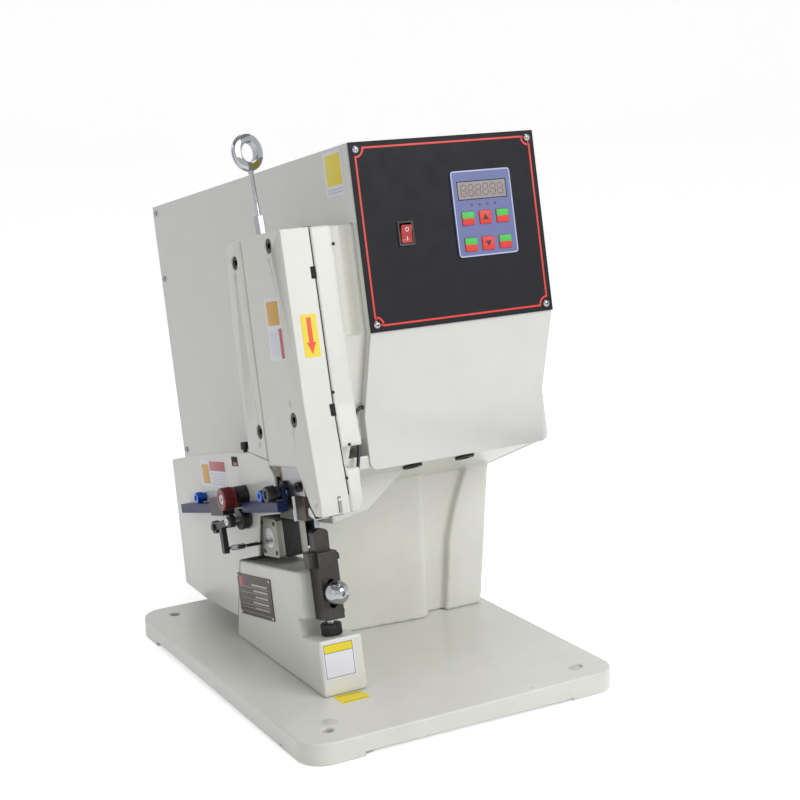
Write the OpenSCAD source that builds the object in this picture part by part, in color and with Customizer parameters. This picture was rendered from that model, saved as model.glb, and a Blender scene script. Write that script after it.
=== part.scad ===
// Bench press that crimps a copper tape round wires.
// World frame: +Z up, front towards -Y, origin under the middle of the base plate.
// The machine's body leans back on its level base. Inside in_body() x stays the
// same, y runs to the rear along the body and z climbs along the ram's line.

/* [Base plate] */
// Width of the base plate, left to right
base_w = 360; // [350:5:400]
// Depth of the base plate, front to back
base_d = 460; // [450:5:520]
// Height of the base plate's top above the bench
base_t = 23; // [20:0.5:26]
// Radius of the plate's corners
base_corner_r = 28; // [15:1:40]
// Height of the corner pads that stand on the bench
base_pad_h = 4; // [2:0.5:6]
// Side of each corner pad
base_pad_w = 62; // [50:1:80]
// Distance of the bench bolt holes from the plate's left and right edges
bench_in_x = 35; // [30:1:45]
// Distance of the bench bolt holes from the plate's front and back edges
bench_in_y = 30; // [26:1:40]
// Diameter of the bench bolt holes
bench_hole_d = 11; // [9:0.5:13]

/* [Body] */
// Angle by which the body leans back on its base, degrees
body_lean = 10; // [8:0.5:11]
// Distance of the ram line left of the base's middle
die_x = 87; // [80:1:95]
// Distance of the ram line in front of the body's origin
die_y = 109; // [104:1:112]

/* [Column] */
// Distance of the column's left face from the base's middle
column_left = 60; // [55:1:62]
// Distance of the column's right face at its foot
column_right = 168; // [160:1:172]
// How far the right face flares out from foot to top
column_flare = 16; // [8:1:20]
// Front face of the column behind the base's middle
column_front = 34; // [30:1:40]
// How far the rounded bulge stands in front of the column
column_bulge = 16; // [8:1:20]
// Radius of the bulge's crest
bulge_r = 13; // [8:1:15]
// Right end of the bulge
bulge_right = 98; // [90:1:104]
// Left end of the right front panel at its foot
panel_left = 121; // [112:1:126]
// How far the right front panel stands in front of the column
panel_step = 9; // [4:1:14]
// Rear face of the column behind the base's middle
column_back = 190; // [170:2:205]
// Wall of the column
column_wall = 18; // [14:1:24]
// Height of the column's hollow above the base plate
column_hollow_h = 118; // [90:2:125]

/* [Jaw] */
// Distance of the jaw's left face from the base's middle
jaw_left = 113; // [110:1:115]
// Width of the jaw
jaw_w = 49; // [44:1:52]
// Height of the jaw's top along the body
jaw_top = 126.5; // [122:0.5:128]
// Front face of the jaw's upper block, in front of the origin
jaw_front = 101; // [98:1:103]
// Front face of the jaw's lower block
jaw_foot_front = 133; // [128:1:140]
// Height of the lower block
jaw_foot_top = 58; // [54:1:60]
// Depth of the notch under the upper block
jaw_notch = 11; // [6:1:14]
// Height of the notch
jaw_notch_h = 19; // [14:1:22]
// Rear end of the jaw's top, behind the origin
jaw_top_back = 49; // [40:1:55]

/* [Head] */
// Front face of the head at its top, in front of the origin
head_front = 165; // [160:1:168]
// Height of the head's top along the body
head_top = 470; // [455:1:480]
// Height of the head's bottom
head_bottom = 235; // [228:1:240]
// Thickness of the side plates and their half of the head
side_plate_t = 32; // [30:1:34]
// Width of the cast half of the head
head_cast_w = 24; // [20:1:26]
// Rear end of the front side plate, in front of the origin
side_plate_back = 66; // [62:1:70]
// Rear end of the rear side plate, in front of the origin
rear_plate_back = 19; // [15:1:24]
// Height of the nose's underside
nose_bottom = 187; // [184:1:192]
// How far the nose stands in front of the head's top
nose_lead = 15; // [8:1:18]
// Diameter of the side plate bolts
head_bolt_d = 8; // [6:1:10]
// Step between the head's cast half and the scooped web beside it
web_step = 9; // [4:1:14]

/* [Ram] */
// Width of the ram, left to right
ram_w = 42; // [40:1:44]
// Depth of the ram, front to back
ram_d = 50; // [48:1:52]
// Height of the ram's bottom along the body, with the press open
ram_bottom = 205; // [203:1:208]
// Height of the ram's top
ram_top = 430; // [426:1:434]
// Stroke of the ram
ram_stroke = 12; // [8:0.5:12]
// Height of the dark punch holder
holder_h = 25; // [23:0.5:27]
// Depth of the punch holder
holder_d = 66; // [60:1:70]
// Width of the punch and the anvil blade
blade_w = 16; // [12:0.5:17]
// Thickness of the punch and the anvil blade
blade_t = 14; // [10:0.5:15]

/* [Anvil] */
// Height of the anvil blade's top along the body
anvil_top = 167.5; // [165:0.5:168]
// Width of the anvil holder
anvil_w = 22; // [20:0.5:24]
// Front-to-back size of the anvil holder
anvil_d = 24; // [22:0.5:26]
// Height of the anvil holder's top
anvil_holder_top = 145; // [142:0.5:147]
// Height of the anvil holder's bottom
anvil_holder_bottom = 75; // [74:0.5:78]
// Travel of the anvil holder each way
anvil_travel = 2.5; // [1:0.1:2.5]
// Radius of the ball knob
ball_r = 12.5; // [10:0.5:13]
// Height of the ball knob's axis
ball_z = 104; // [100:1:106]
// Radius of the black height knob
height_knob_r = 11; // [9:0.5:12]
// Height of the black height knob
height_knob_h = 12.5; // [10:0.5:12.5]

/* [Cabinet] */
// Distance of the cabinet's left face from the base's middle
cabinet_left = 28; // [27:0.5:29]
// Width of the cabinet
cabinet_w = 218; // [216:1:224]
// Rear face of the cabinet behind the origin
cabinet_back = 409; // [380:1:430]
// Height of the cabinet's top along the body
cabinet_top = 549; // [535:1:560]
// Thickness of the cabinet's sheet
sheet_t = 2; // [1.5:0.1:2.5]
// Front face of the control panel, in front of the origin
panel_front = 167.5; // [166:0.5:168]
// Thickness of the control panel
panel_t = 2; // [1.5:0.1:2.5]
// Height of the control panel's lower edge
panel_bottom = 358.5; // [355:0.5:362]
// Height of the fascia's fold
fold_z = 274; // [270:1:278]
// Front face of the fascia's lower band, in front of the origin
band_front = 129; // [127:1:130]
// Height of the fascia's lower edge
band_bottom = 218.5; // [216:0.5:220]
// Radius of the fascia's lower corners
band_corner_r = 9; // [4:1:14]
// Height of the cabinet's rear lower edge
cabinet_bottom = 187; // [186:0.5:188]
// Thickness of the saddle under the cabinet
saddle_t = 14; // [12:1:16]
// Length of the cabinet screws
cabinet_screw_l = 8; // [6:1:10]

/* [Controls] */
// Distance of the panel screws from the panel's edges
panel_screw_in = 7.5; // [6:0.5:10]
// Distance of the rocker switch from the panel's left edge
switch_in = 52.5; // [45:0.5:60]
// Height of the rocker switch along the body
switch_z = 454; // [440:1:470]
// Width of the rocker
rocker_w = 12.6; // [10:0.1:14]
// Height of the rocker
rocker_h = 19.6; // [16:0.1:22]
// Tilt of the rocker either side of level, degrees
rocker_tilt = 9; // [6:0.5:10]
// Width of the counter module
counter_w = 72; // [68:1:76]
// Height of the counter module
counter_h = 89; // [86:1:92]
// Distance of the counter module from the panel's right edge
counter_in = 35; // [28:1:40]
// Height of the counter module's lower edge along the body
counter_z = 423; // [415:1:430]
// Width of the display window
display_w = 57.6; // [50:0.2:60]
// Height of the display window
display_h = 17.7; // [14:0.1:20]
// Width of a key
key_w = 14.4; // [11:0.1:15]
// Height of a key
key_h = 13.8; // [11:0.1:14.5]
// Pitch of the keys, left to right
key_pitch_x = 20.8; // [17:0.1:21]
// Pitch of the keys, top to bottom
key_pitch_z = 27; // [20:0.5:28]
// Travel of a key
key_travel = 0.6; // [0.3:0.1:0.7]

/* [Drive] */
// Height of the crankshaft along the body
crank_z = 400; // [398:0.5:402]
// Radius of the crankshaft
crank_r = 12.5; // [10:0.5:13]
// Radius of the roller on the crank's pin
roller_r = 12; // [11:0.5:12]
// Radius of the crank's pin
pin_r = 8; // [6:0.5:8]
// Outer radius of the crankshaft bearings
bearing_r = 26; // [22:1:28]
// Width of a crankshaft bearing
bearing_w = 15; // [12:1:16]
// Radius of the driven pulley
driven_r = 42; // [38:1:44]
// Width of the pulleys
pulley_w = 20; // [16:1:24]
// Radius of the motor pulley
motor_pulley_r = 14; // [12:1:16]
// Radius of the motor's body
motor_r = 48; // [42:1:50]
// Length of the motor's body
motor_l = 118; // [100:1:122]
// Distance of the motor's axis behind the origin
motor_y = 70; // [60:1:80]
// Height of the motor's axis along the body
motor_z = 300; // [290:1:305]
// Thickness of the drive belt
belt_t = 4; // [3:0.5:5]

/* [Feed unit] */
// Pitch of the feed unit on the body, degrees
feed_pitch = 3.2; // [1:0.2:4]
// Distance of the feed roller's axis behind the origin
feed_y = 7.5; // [5:0.5:10]
// Height of the feed roller's axis along the body
feed_z = 201; // [199:0.5:203]
// Thickness of the feed cover's sheet
feed_sheet_t = 3; // [2:0.5:4]
// Radius of the feed roller and the pinch wheel
feed_roller_r = 11.5; // [9:0.5:12]
// Gap between the feed roller and the pinch wheel
tape_gap = 1.3; // [0.5:0.1:2]
// Radius of the red feed knob
feed_knob_r = 12.5; // [10:0.5:13]
// Length of the red feed knob
feed_knob_l = 15; // [12:1:18]
// Height of the blue guide bar
bar_h = 10.5; // [8:0.5:12]
// Depth of the blue guide bar, left to right
bar_d = 12; // [8:0.5:12]
// Front end of the guide bar, in front of the feed roller
bar_front = 109; // [100:1:112]
// Rear end of the guide bar, behind the feed roller
bar_rear = 173; // [150:1:180]
// Radius of the blue thumbscrews
thumb_r = 6.3; // [5:0.1:6.5]
// Radius of the black thumbscrew
stop_r = 8.5; // [7:0.5:8.5]
// Radius of the feed shaft
feed_shaft_r = 4; // [3:0.5:5]
// Side of the feed motor
feed_motor_w = 42.3; // [38:0.1:42.4]
// Length of the feed motor
feed_motor_l = 34; // [30:1:36]
// Swing of the pinch lever, degrees
pinch_swing = 10; // [4:1:10]
// Number of curls in the pinch spring
spring_curls = 10; // [6:1:14]

/* [Guide ring] */
// Outer radius of the guide ring
ring_r = 19; // [16:0.5:20]
// Radius of the guide ring's hole
ring_hole_r = 9.8; // [8:0.1:11]
// Thickness of the guide ring
ring_t = 8; // [6:0.5:10]
// Length of the rod, from its coupling to the ring's middle
rod_l = 64; // [55:1:70]
// Radius of the rod
rod_r = 2.6; // [2:0.1:3]

/* [Lead] */
// Diameter of the black lead
lead_d = 3.6; // [3:0.1:4]

/* [Hidden] */
$fn = 64;

// Clearances
slide_gap = 0.1;
spin_gap = 0.05;
air_gap = 0.3;
seat_gap = 0.2;
overrun = 1;
bench_pitch_x = base_w - 2 * bench_in_x;
bench_pitch_y = base_d - 2 * bench_in_y;
// Length that passes through the whole cabinet
reach = 2 * cabinet_back;
// Colours
cream = "#DADAD4";
steel = "#9A9CA0";
dark = "#2A2A2C";
// Signed places, in the body's axes
left_face = -jaw_left;
jaw_right = left_face + jaw_w;
ram_left = -die_x - ram_w / 2;
ram_right = -die_x + ram_w / 2;
ram_front = -die_y - ram_d / 2;
ram_back = -die_y + ram_d / 2;
cast_left = left_face + side_plate_t;
cast_right = cast_left + head_cast_w;
cab_left = -cabinet_left;
cab_right = cab_left + cabinet_w;
panel_back = -panel_front + panel_t;
fascia_front = panel_back;
fascia_back = panel_back + sheet_t;
band_back = -band_front + sheet_t;
// Heel of the saddle, where its underside turns level
saddle_heel_y = 11;
saddle_back_y = 172;
saddle_lip_z = band_bottom + 2.5;
// Frame bolts
frame_bolt_r = 5;
frame_bolt_head_r = 8;
frame_bolt_head_h = 8;
frame_bolt_l = 28;
frame_bolts_at = [[-die_x, -base_d * 0.16], [-die_x, base_d * 0.12],
    [column_right * 0.05, column_back * 0.96], [column_right * 0.93, column_back * 0.96]];
// Nose
nose_web_w = 16;
nose_chamfer = 7;
nose_mid_y = 157;
nose_mid_z = 195.5;
nose_top_y = ram_front;
notch_top = 251;
notch_bottom = 230;
notch_depth = 14;
// Pockets of the head
belt_steps = 24;
pocket_room = 12;
pocket_top = ram_top + pocket_room;
gib_t = 4;
pocket_back = ram_back + gib_t;
flange_r = 22;
flange_t = 7;
flange_gap = 0.5;
web_back_y = 40;
rib_right = 8;
rib_back_y = 150;
crank_throw = ram_stroke / 2;
slot_lost_motion = 1.5;
slot_depth = 16;
roller_l = 13;
// Side plate bolts: distance in front of the origin, height
front_bolts = [[142.5, 283], [135, 456.5]];
rear_bolts = [[55, 270.5], [46.5, 447]];
head_bolt_head_h = 8;
head_bolt_sink = 8.5;
counterbore_r = 7.7;
// Small screws
screw_gap = 0.1;
m6_r = 3;
m6_head_r = 5;
m6_head_h = 4.5;
// Anvil
anvil_front = -jaw_front - anvil_d - slide_gap;
tongue_w = 10;
tongue_d = 6;
blade_bottom_z = 117.6;
stud_r = 4;
stud_slot = 13;
ear_w = 7;
ear_h = 16;
washer_t = 2;
screw_r = 4;
// Pads
pad_screw_r = 2;
pad_head_r = 3.6;
pad_head_h = 2;
// Feed unit, right of its cover
bracket_t = 6;
bracket_right = -column_left;
bracket_left = bracket_right - bracket_t;
belt_zone = 9;
feed_motor_right = bracket_left - belt_zone;
feed_motor_left = feed_motor_right - feed_motor_l;
feed_motor_y = -33;
feed_motor_z = 157;
spacer_pitch = 31;
spacer_r = 2.5;
feed_pulley_r = 12;
feed_motor_pulley_r = 8;
feed_belt_w = 6;
feed_belt_t = 1.5;
motor_shaft_r = 2.5;
// Feed unit, left of its cover, from the feed roller's axis
bar_top = -6.5;
bar_break_front = -13.5;
bar_break_rear = 75;
clamp_front = 38;
clamp_h = 20;
pinch_drop = 2 * feed_roller_r + tape_gap;
pivot_y = 46;
pivot_z = -31;
pivot_r = 3.5;
lever_t = 6;
lever_reach = 24;
lever_left = left_face - lever_reach;
arm_y = 28;
arm_z = -60;
arm_w = 8;
hook_y = 28;
hook_z = -55;
stud_y = -14;
stud_z = -52;
spring_stud_r = 1.8;
spring_wire_r = 0.45;
spring_r = 2.6;
spring_reach = 14.5;
spring_x = left_face - spring_reach;
thumb_l = 12;
thumb_rear_y = 120;
thumb_front_y = -66;
stop_y = -100;
stop_l = 15;
// Guide ring
coupling_x = -104;
coupling_y = -102;
coupling_r = 5.6;
coupling_h = 19;
rod_lean = -3;
ring_turn = 18;
// Fascia pads and rear panel
flange_w = 10;
vent_w = 90;
vent_h = 4;
vent_pitch = 12;
vent_count = 6;
inlet_w = 28;
inlet_h = 20;
socket_r = 9;
socket_depth = 14;
bezel_wall = 2;
bezel_out = 1.5;
counter_out = 1.8;
counter_r = 4;
counter_body_in = 3;
counter_depth = 18;
board_t = 1.6;
standoff_r = 3;
// Lead: its route inside the body's axes
lead_route = [[-26, -128, 284], [-31, -128, 284], [-36, -128.6, 281], [-39, -129.4, 274], [-40, -130, 265],
    [-40, -131, 254], [-41, -133, 244], [-44, -135, 233], [-48, -138, 222], [-53, -141, 213],
    [-58, -145, 207], [-61, -148, 205], [-63.4, -149.8, 205]];
lead_sides = 8;

function foot_z(y) = (base_t + y * sin(body_lean)) / cos(body_lean);
module in_body() {
    rotate([-body_lean, 0, 0]) children();
}

module in_feed() {
    in_body() translate([0, feed_y, feed_z]) rotate([-feed_pitch, 0, 0]) children();
}

module block(low, high) {
    translate(low) cube(high - low);
}

// Outline in (y, z), drawn from x0 to x1
module slab_x(x0, x1) {
    translate([x0, 0, 0]) rotate([90, 0, 90]) linear_extrude(x1 - x0) children();
}

// Outline in (x, z), drawn from y0 to y1
module slab_y(y0, y1) {
    translate([0, y1, 0]) rotate([90, 0, 0]) linear_extrude(y1 - y0) children();
}

module rod_x(x0, x1, y, z, r) {
    translate([x0, y, z]) rotate([0, 90, 0]) cylinder(h = x1 - x0, r = r);
}

module rod_y(y0, y1, x, z, r) {
    translate([x, y0, z]) rotate([-90, 0, 0]) cylinder(h = y1 - y0, r = r);
}

module rod_z(z0, z1, x, y, r) {
    translate([x, y, z0]) cylinder(h = z1 - z0, r = r);
}

module rounded_square(w, h, r) {
    translate([r, 0]) square([w - 2 * r, h]);
    translate([0, r]) square([w, h - 2 * r]);
    for (x = [r, w - r], y = [r, h - r]) translate([x, y]) circle(r);
}

module rounded_plate(w, d, h, r) {
    translate([-w / 2, -d / 2, 0]) linear_extrude(h) rounded_square(w, d, r);
}

// Cap screw whose head starts at the origin and whose shank runs along +X
module cap_screw(r, head_r, head_h, shank_l, hex_share = 0.5) {
    difference() {
        union() {
            rod_x(-head_h, 0, 0, 0, head_r);
            rod_x(-screw_gap, shank_l, 0, 0, r);
        }
        translate([-head_h - overrun, 0, 0]) rotate([0, 90, 0])
            cylinder(h = head_h * hex_share + overrun, r = head_r * hex_share, $fn = 6);
    }
}

// Outline of a belt round two pulleys in the (y, z) plane, as points
function belt_points(a, ra, b, rb) =
    let (gap = b - a, turn = atan2(gap[1], gap[0]), side = acos((ra - rb) / norm(gap)))
    concat([for (i = [0 : belt_steps]) let (t = turn + side + (360 - 2 * side) * i / belt_steps) a + ra * [cos(t), sin(t)]],
        [for (i = [0 : belt_steps]) let (t = turn - side + 2 * side * i / belt_steps) b + rb * [cos(t), sin(t)]]);

module belt_loop(x0, x1, a, ra, b, rb, t) {
    slab_x(x0, x1) difference() {
        polygon(belt_points(a, ra + t, b, rb + t));
        polygon(belt_points(a, ra, b, rb));
    }
}

// Ring of points round a route's point, square to the way it runs there
function unit(v) = v / norm(v);
function way(route, i) = unit(route[min(i + 1, len(route) - 1)] - route[max(i - 1, 0)]);
function ring_points(route, i, r, sides) =
    let (t = way(route, i), a = unit(cross(t, [0, 1, 0] + 0.01 * [1, 0, 1])), b = cross(t, a))
    [for (k = [0 : sides - 1]) route[i] + r * (cos(360 * k / sides) * a + sin(360 * k / sides) * b)];

module tube(route, r, sides) {
    n = len(route);
    points = [for (i = [0 : n - 1]) each ring_points(route, i, r, sides)];
    skin = [for (i = [0 : n - 2], k = [0 : sides - 1], half = [0, 1])
        let (a = i * sides + k, b = i * sides + (k + 1) % sides)
        half == 0 ? [a, b, a + sides] : [b, b + sides, a + sides]];
    first = [for (k = [1 : sides - 2]) [0, k + 1, k]];
    last = [for (k = [1 : sides - 2]) let (o = (n - 1) * sides) [o, o + k, o + k + 1]];
    polyhedron(points, concat(skin, first, last));
}

module base_plate() {
    color(cream) difference() {
        union() {
            translate([0, 0, base_pad_h]) rounded_plate(base_w, base_d, base_t - base_pad_h, base_corner_r);
            intersection() {
                rounded_plate(base_w, base_d, base_t - seat_gap, base_corner_r);
                for (x = [-1, 1], y = [-1, 1])
                    translate([x * (base_w - base_pad_w) / 2, y * (base_d - base_pad_w) / 2, 0])
                        rounded_plate(base_pad_w + seat_gap, base_pad_w + seat_gap, base_t, base_pad_h);
            }
        }
        for (x = [-1, 1], y = [-1, 1])
            rod_z(-overrun, base_t + overrun, x * bench_pitch_x / 2, y * bench_pitch_y / 2, bench_hole_d / 2);
        for (at = frame_bolts_at) {
            rod_z(0, base_t + overrun, at[0], at[1], frame_bolt_r + screw_gap);
            rod_z(0, base_pad_h + frame_bolt_head_h, at[0], at[1], frame_bolt_head_r + air_gap);
        }
    }
}

module frame_bolts() {
    color(steel) for (at = frame_bolts_at)
        translate([at[0], at[1], base_pad_h + frame_bolt_head_h]) rotate([0, -90, 0])
            cap_screw(frame_bolt_r, frame_bolt_head_r, frame_bolt_head_h, frame_bolt_l);
    // stud of the ball knob
    color(steel) in_body() rod_y(ball_y + overrun, -jaw_front + 1.6 * anvil_d, -die_x, ball_z, stud_r);
}

module saddle_outline(grow) {
    polygon([[band_back, saddle_lip_z - grow], [saddle_heel_y, cabinet_bottom - grow],
        [saddle_back_y + grow, cabinet_bottom - grow],
        [saddle_back_y + grow, cabinet_bottom + saddle_t + grow],
        [saddle_heel_y, cabinet_bottom + saddle_t + grow], [band_back, saddle_lip_z + saddle_t + grow]]);
}

module column() {
    flared = [column_right, column_right + column_flare];
    height = cabinet_bottom + saddle_t;
    difference() {
        union() {
            slab_y(column_front, column_back) polygon([[-column_left, base_t], [flared[0], base_t],
                [flared[1], height], [-column_left, height]]);
            translate([0, 0, base_t]) linear_extrude(height - base_t) {
                polygon([[-column_left, column_front + overrun], [-column_left, column_front - overrun],
                    [bulge_right - bulge_r, column_front - column_bulge],
                    [bulge_right - bulge_r, column_front + overrun]]);
                translate([bulge_right - bulge_r, column_front - column_bulge + bulge_r]) circle(bulge_r);
                translate([bulge_right - 2 * bulge_r, column_front - column_bulge + bulge_r])
                    square([2 * bulge_r, column_bulge - bulge_r + overrun]);
            }
            slab_y(column_front - panel_step, column_front + overrun) polygon([[panel_left, base_t],
                [flared[0], base_t], [flared[1], height], [panel_left + 2.4 * column_flare, height],
                [panel_left + 1.7 * column_flare, height * 0.88], [panel_left + column_flare, height * 0.73],
                [panel_left + 0.4 * column_flare, height * 0.55]]);
        }
        block([-column_left + column_wall, column_front + column_wall, base_t + column_wall],
            [column_right - column_wall, column_back + overrun, base_t + column_hollow_h]);
        in_body() block([-base_w, -reach, cabinet_bottom + saddle_t - seat_gap], [base_w, reach, head_top]);
    }
}

module jaw() {
    foot_back = jaw_top_back + 0.71 * jaw_w;
    heel = [jaw_top_back + 0.55 * jaw_w, jaw_foot_top + ear_w / 2];
    slab_x(left_face, jaw_right) polygon([[-jaw_foot_front, foot_z(-jaw_foot_front)],
        [-jaw_foot_front, jaw_foot_top], [-jaw_front + jaw_notch, jaw_foot_top],
        [-jaw_front + jaw_notch, jaw_foot_top + jaw_notch_h], [-jaw_front, jaw_foot_top + jaw_notch_h],
        [-jaw_front, jaw_top], [jaw_top_back, jaw_top], heel,
        [foot_back, foot_z(foot_back)]]);
}

module head_outline(y_back) {
    polygon([[-head_front, head_top], [y_back, head_top], [y_back, head_bottom],
        [nose_top_y, head_bottom], [-nose_mid_y, nose_mid_z], [-head_front, nose_bottom],
        [-head_front - nose_lead, nose_bottom], [-head_front - nose_lead, nose_mid_z + nose_chamfer],
        [-head_front - nose_lead / 3, (head_top + head_bottom) / 2.4]]);
}

// Web that joins the head to the rib inside the cabinet
module web_outline(grow) {
    y0 = -head_front + web_step - grow;
    y1 = -band_front + web_step - grow;
    polygon([[y0, head_top + grow], [y0, panel_bottom], [y1, fold_z], [y1, notch_top - grow],
        [-die_y + bearing_r, head_bottom - grow], [-web_back_y + grow, head_bottom - grow],
        [-web_back_y + grow, head_top + grow]]);
}

module ram_pocket() {
    block([ram_left - slide_gap, ram_front - slide_gap, nose_bottom],
        [ram_right + slide_gap, pocket_back, pocket_top]);
}

module side_bolt_holes(bolts) {
    for (at = bolts) {
        rod_x(left_face - overrun, cast_left + overrun, -at[0], at[1], head_bolt_d / 2 + screw_gap);
        rod_x(left_face - 2 * overrun, left_face + head_bolt_sink, -at[0], at[1], counterbore_r);
    }
}

module head_casting() {
    difference() {
        union() {
            intersection() {
                slab_x(cast_left, cast_right) head_outline(-rear_plate_back);
                slab_y(-reach, reach) polygon([[cast_left, nose_bottom], [cast_right - nose_web_w - seat_gap, nose_bottom],
                    [cast_right - nose_web_w + nose_chamfer, nose_mid_z], [cast_right - nose_chamfer, notch_bottom],
                    [cast_right, notch_top], [cast_right, head_top], [cast_left, head_top]]);
            }
            slab_x(cast_right - overrun, rib_right) web_outline(0);
        }
        // scoop between the head and the cabinet
        rod_z(panel_bottom, head_top + overrun, (cast_right + cab_left) / 2, -head_front + web_step, web_step);
        // step under the cast half's front
        block([cast_left + overrun, -reach, notch_bottom], [cast_right + overrun, -head_front + notch_depth, notch_top]);
        ram_pocket();
        rod_x(ram_right, rib_right + overrun, -die_y, crank_z, bearing_r);
        for (at = concat(front_bolts, rear_bolts))
            rod_x(cast_left - overrun, cast_left + head_cast_w - column_wall / 3, -at[0], at[1], head_bolt_d / 2 + screw_gap);
    }
}

module c_frame() {
    color(cream) difference() {
        union() {
            column();
            in_body() {
                jaw();
                slab_x(cast_right, cab_right - sheet_t - seat_gap) saddle_outline(0);
                head_casting();
                // inner rib that carries the head
                slab_x(cab_left + sheet_t + seat_gap, rib_right) polygon([[band_back + saddle_t, saddle_lip_z],
                    [-die_y, head_bottom + saddle_t], [-web_back_y, (head_top + crank_z) / 2],
                    [rib_back_y, cabinet_bottom + saddle_t], [saddle_heel_y, cabinet_bottom + overrun]]);
                // gusset under the saddle, beside the nose
                intersection() {
                    slab_y(-die_y + bearing_r, saddle_heel_y + saddle_t) polygon([[cast_right, head_bottom],
                        [cast_right, cabinet_bottom - 1.6 * saddle_t], [-cabinet_left / 2, cabinet_bottom - saddle_t],
                        [1.8 * cabinet_left, saddle_lip_z], [1.8 * cabinet_left, saddle_lip_z + saddle_t / 2]]);
                    slab_x(-base_w, base_w) polygon([[-base_d, 0], [base_d, 0], [base_d, cabinet_bottom + saddle_t / 2],
                        [saddle_heel_y, cabinet_bottom + saddle_t / 2], [band_back, saddle_lip_z + saddle_t / 2]]);
                }
            }
            // foot that ties the jaw to the column
            block([jaw_right - overrun, column_front + column_bulge, base_t],
                [-column_left + overrun, column_front + 3 * column_bulge, base_t + jaw_foot_top]);
        }
        for (at = frame_bolts_at)
            rod_z(base_t - overrun, base_pad_h + frame_bolt_head_h + frame_bolt_l + overrun, at[0], at[1],
                frame_bolt_r + screw_gap);
        in_body() {
            // tongue slot, clamp stud hole and height screw hole of the anvil
            block([-die_x - tongue_w / 2 - slide_gap, -jaw_front - overrun, jaw_foot_top],
                [-die_x + tongue_w / 2 + slide_gap, -jaw_front + tongue_d + slide_gap, jaw_top + overrun]);
            rod_y(-jaw_front - overrun, -jaw_front + 2 * anvil_d, -die_x, ball_z, stud_r + spin_gap);
            rod_z(jaw_foot_top - anvil_d, jaw_foot_top + overrun, -die_x, -jaw_front - jaw_notch, screw_r + spin_gap);
            rod_x(ram_right, rib_right + overrun, -die_y, crank_z, bearing_r);
            // grommet holes in the saddle
            for (x = grommets_x) translate([x, grommet_y, grommet_z]) rotate([-grommet_tilt, 0, 0])
                rod_z(-saddle_t, saddle_t, 0, 0, grommet_r + screw_gap);
        }
    }
}
grommets_x = [1.3 * cabinet_left, 3.6 * cabinet_left];
grommet_y = -98;
grommet_r = 8;
grommet_rim = 2.5;
grommet_tilt = atan2(saddle_lip_z - cabinet_bottom, saddle_heel_y - band_back);
grommet_z = saddle_lip_z + (grommet_y - band_back) * (cabinet_bottom - saddle_lip_z) / (saddle_heel_y - band_back);

module grommets() {
    color(dark) in_body() for (x = grommets_x) translate([x, grommet_y, grommet_z])
        rotate([-grommet_tilt, 0, 0]) difference() {
            union() {
                rod_z(-grommet_rim - screw_gap, -screw_gap, 0, 0, grommet_r + grommet_rim);
                rod_z(-grommet_rim, saddle_t / 2, 0, 0, grommet_r);
            }
            rod_z(-grommet_rim - overrun, saddle_t, 0, 0, grommet_r - grommet_rim);
        }
}

module head_side_plate() {
    color(cream) in_body() difference() {
        slab_x(left_face, cast_left) head_outline(-side_plate_back);
        ram_pocket();
        side_bolt_holes(front_bolts);
    }
}

module head_rear_plate() {
    color(cream) in_body() difference() {
        slab_x(left_face - overrun, cast_left) polygon([[-side_plate_back + seat_gap, head_bottom + 0.9 * nose_chamfer],
            [-side_plate_back + seat_gap, head_top - sheet_t], [-rear_plate_back, head_top - sheet_t],
            [-rear_plate_back, head_bottom + 2 * nose_chamfer]]);
        side_bolt_holes(rear_bolts);
    }
}

module head_bolts() {
    color(dark) in_body() for (at = concat(front_bolts, rear_bolts))
        translate([left_face + head_bolt_sink, -at[0], at[1]])
            cap_screw(head_bolt_d / 2, counterbore_r - air_gap, head_bolt_head_h, side_plate_t);
}

module ram_gibs() {
    color("#8A6A48") in_body() block([ram_left, ram_back + slide_gap, ram_bottom + saddle_t],
        [ram_right, pocket_back, pocket_top - overrun]);
}

module ram() {
    color(steel) in_body() difference() {
        block([ram_left, ram_front, ram_bottom], [ram_right, ram_back, ram_top]);
        // cross slot for the crank's roller, with lost motion above and below it
        block([ram_right - slot_depth, -die_y - roller_r - crank_throw - air_gap,
            crank_z + crank_throw - roller_r - slot_lost_motion],
            [ram_right + overrun, -die_y + roller_r + crank_throw + air_gap,
            crank_z + crank_throw + roller_r + slot_lost_motion]);
        for (y = ram_screws_y) rod_x(ram_left - overrun, ram_left + ram_w / 2, y, ram_screws_z, m6_r + screw_gap);
    }
}
ram_screws_y = [ram_front + 1.3 * m6_head_r, ram_back - 1.3 * m6_head_r];
ram_screws_z = ram_bottom + 2 * m6_head_r;

module ram_screws() {
    color(dark) in_body() for (y = ram_screws_y) translate([ram_left, y, ram_screws_z])
        cap_screw(m6_r, m6_head_r, m6_head_h, ram_w / 2 - overrun);
}

punch_y0 = -die_y - blade_t / 2;
punch_y1 = -die_y + blade_t / 2;

module punch_holder() {
    color("#3A3632") in_body() difference() {
        block([ram_left, ram_front + washer_t, ram_bottom - holder_h],
            [ram_right, ram_front + washer_t + holder_d, ram_bottom]);
        block([-die_x - blade_w / 2, punch_y0, ram_bottom - holder_h - overrun],
            [-die_x + blade_w / 2, punch_y1, ram_bottom + overrun]);
    }
}

module crimp_punch() {
    color(steel) in_body() difference() {
        block([-die_x - blade_w / 2 + spin_gap, punch_y0 + spin_gap, ram_bottom - holder_h],
            [-die_x + blade_w / 2 - spin_gap, punch_y1 - spin_gap, ram_bottom]);
        slab_y(punch_y0 - overrun, punch_y1 + overrun)
            translate([-die_x, ram_bottom - holder_h]) circle(blade_w / 8);
    }
}

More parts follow.
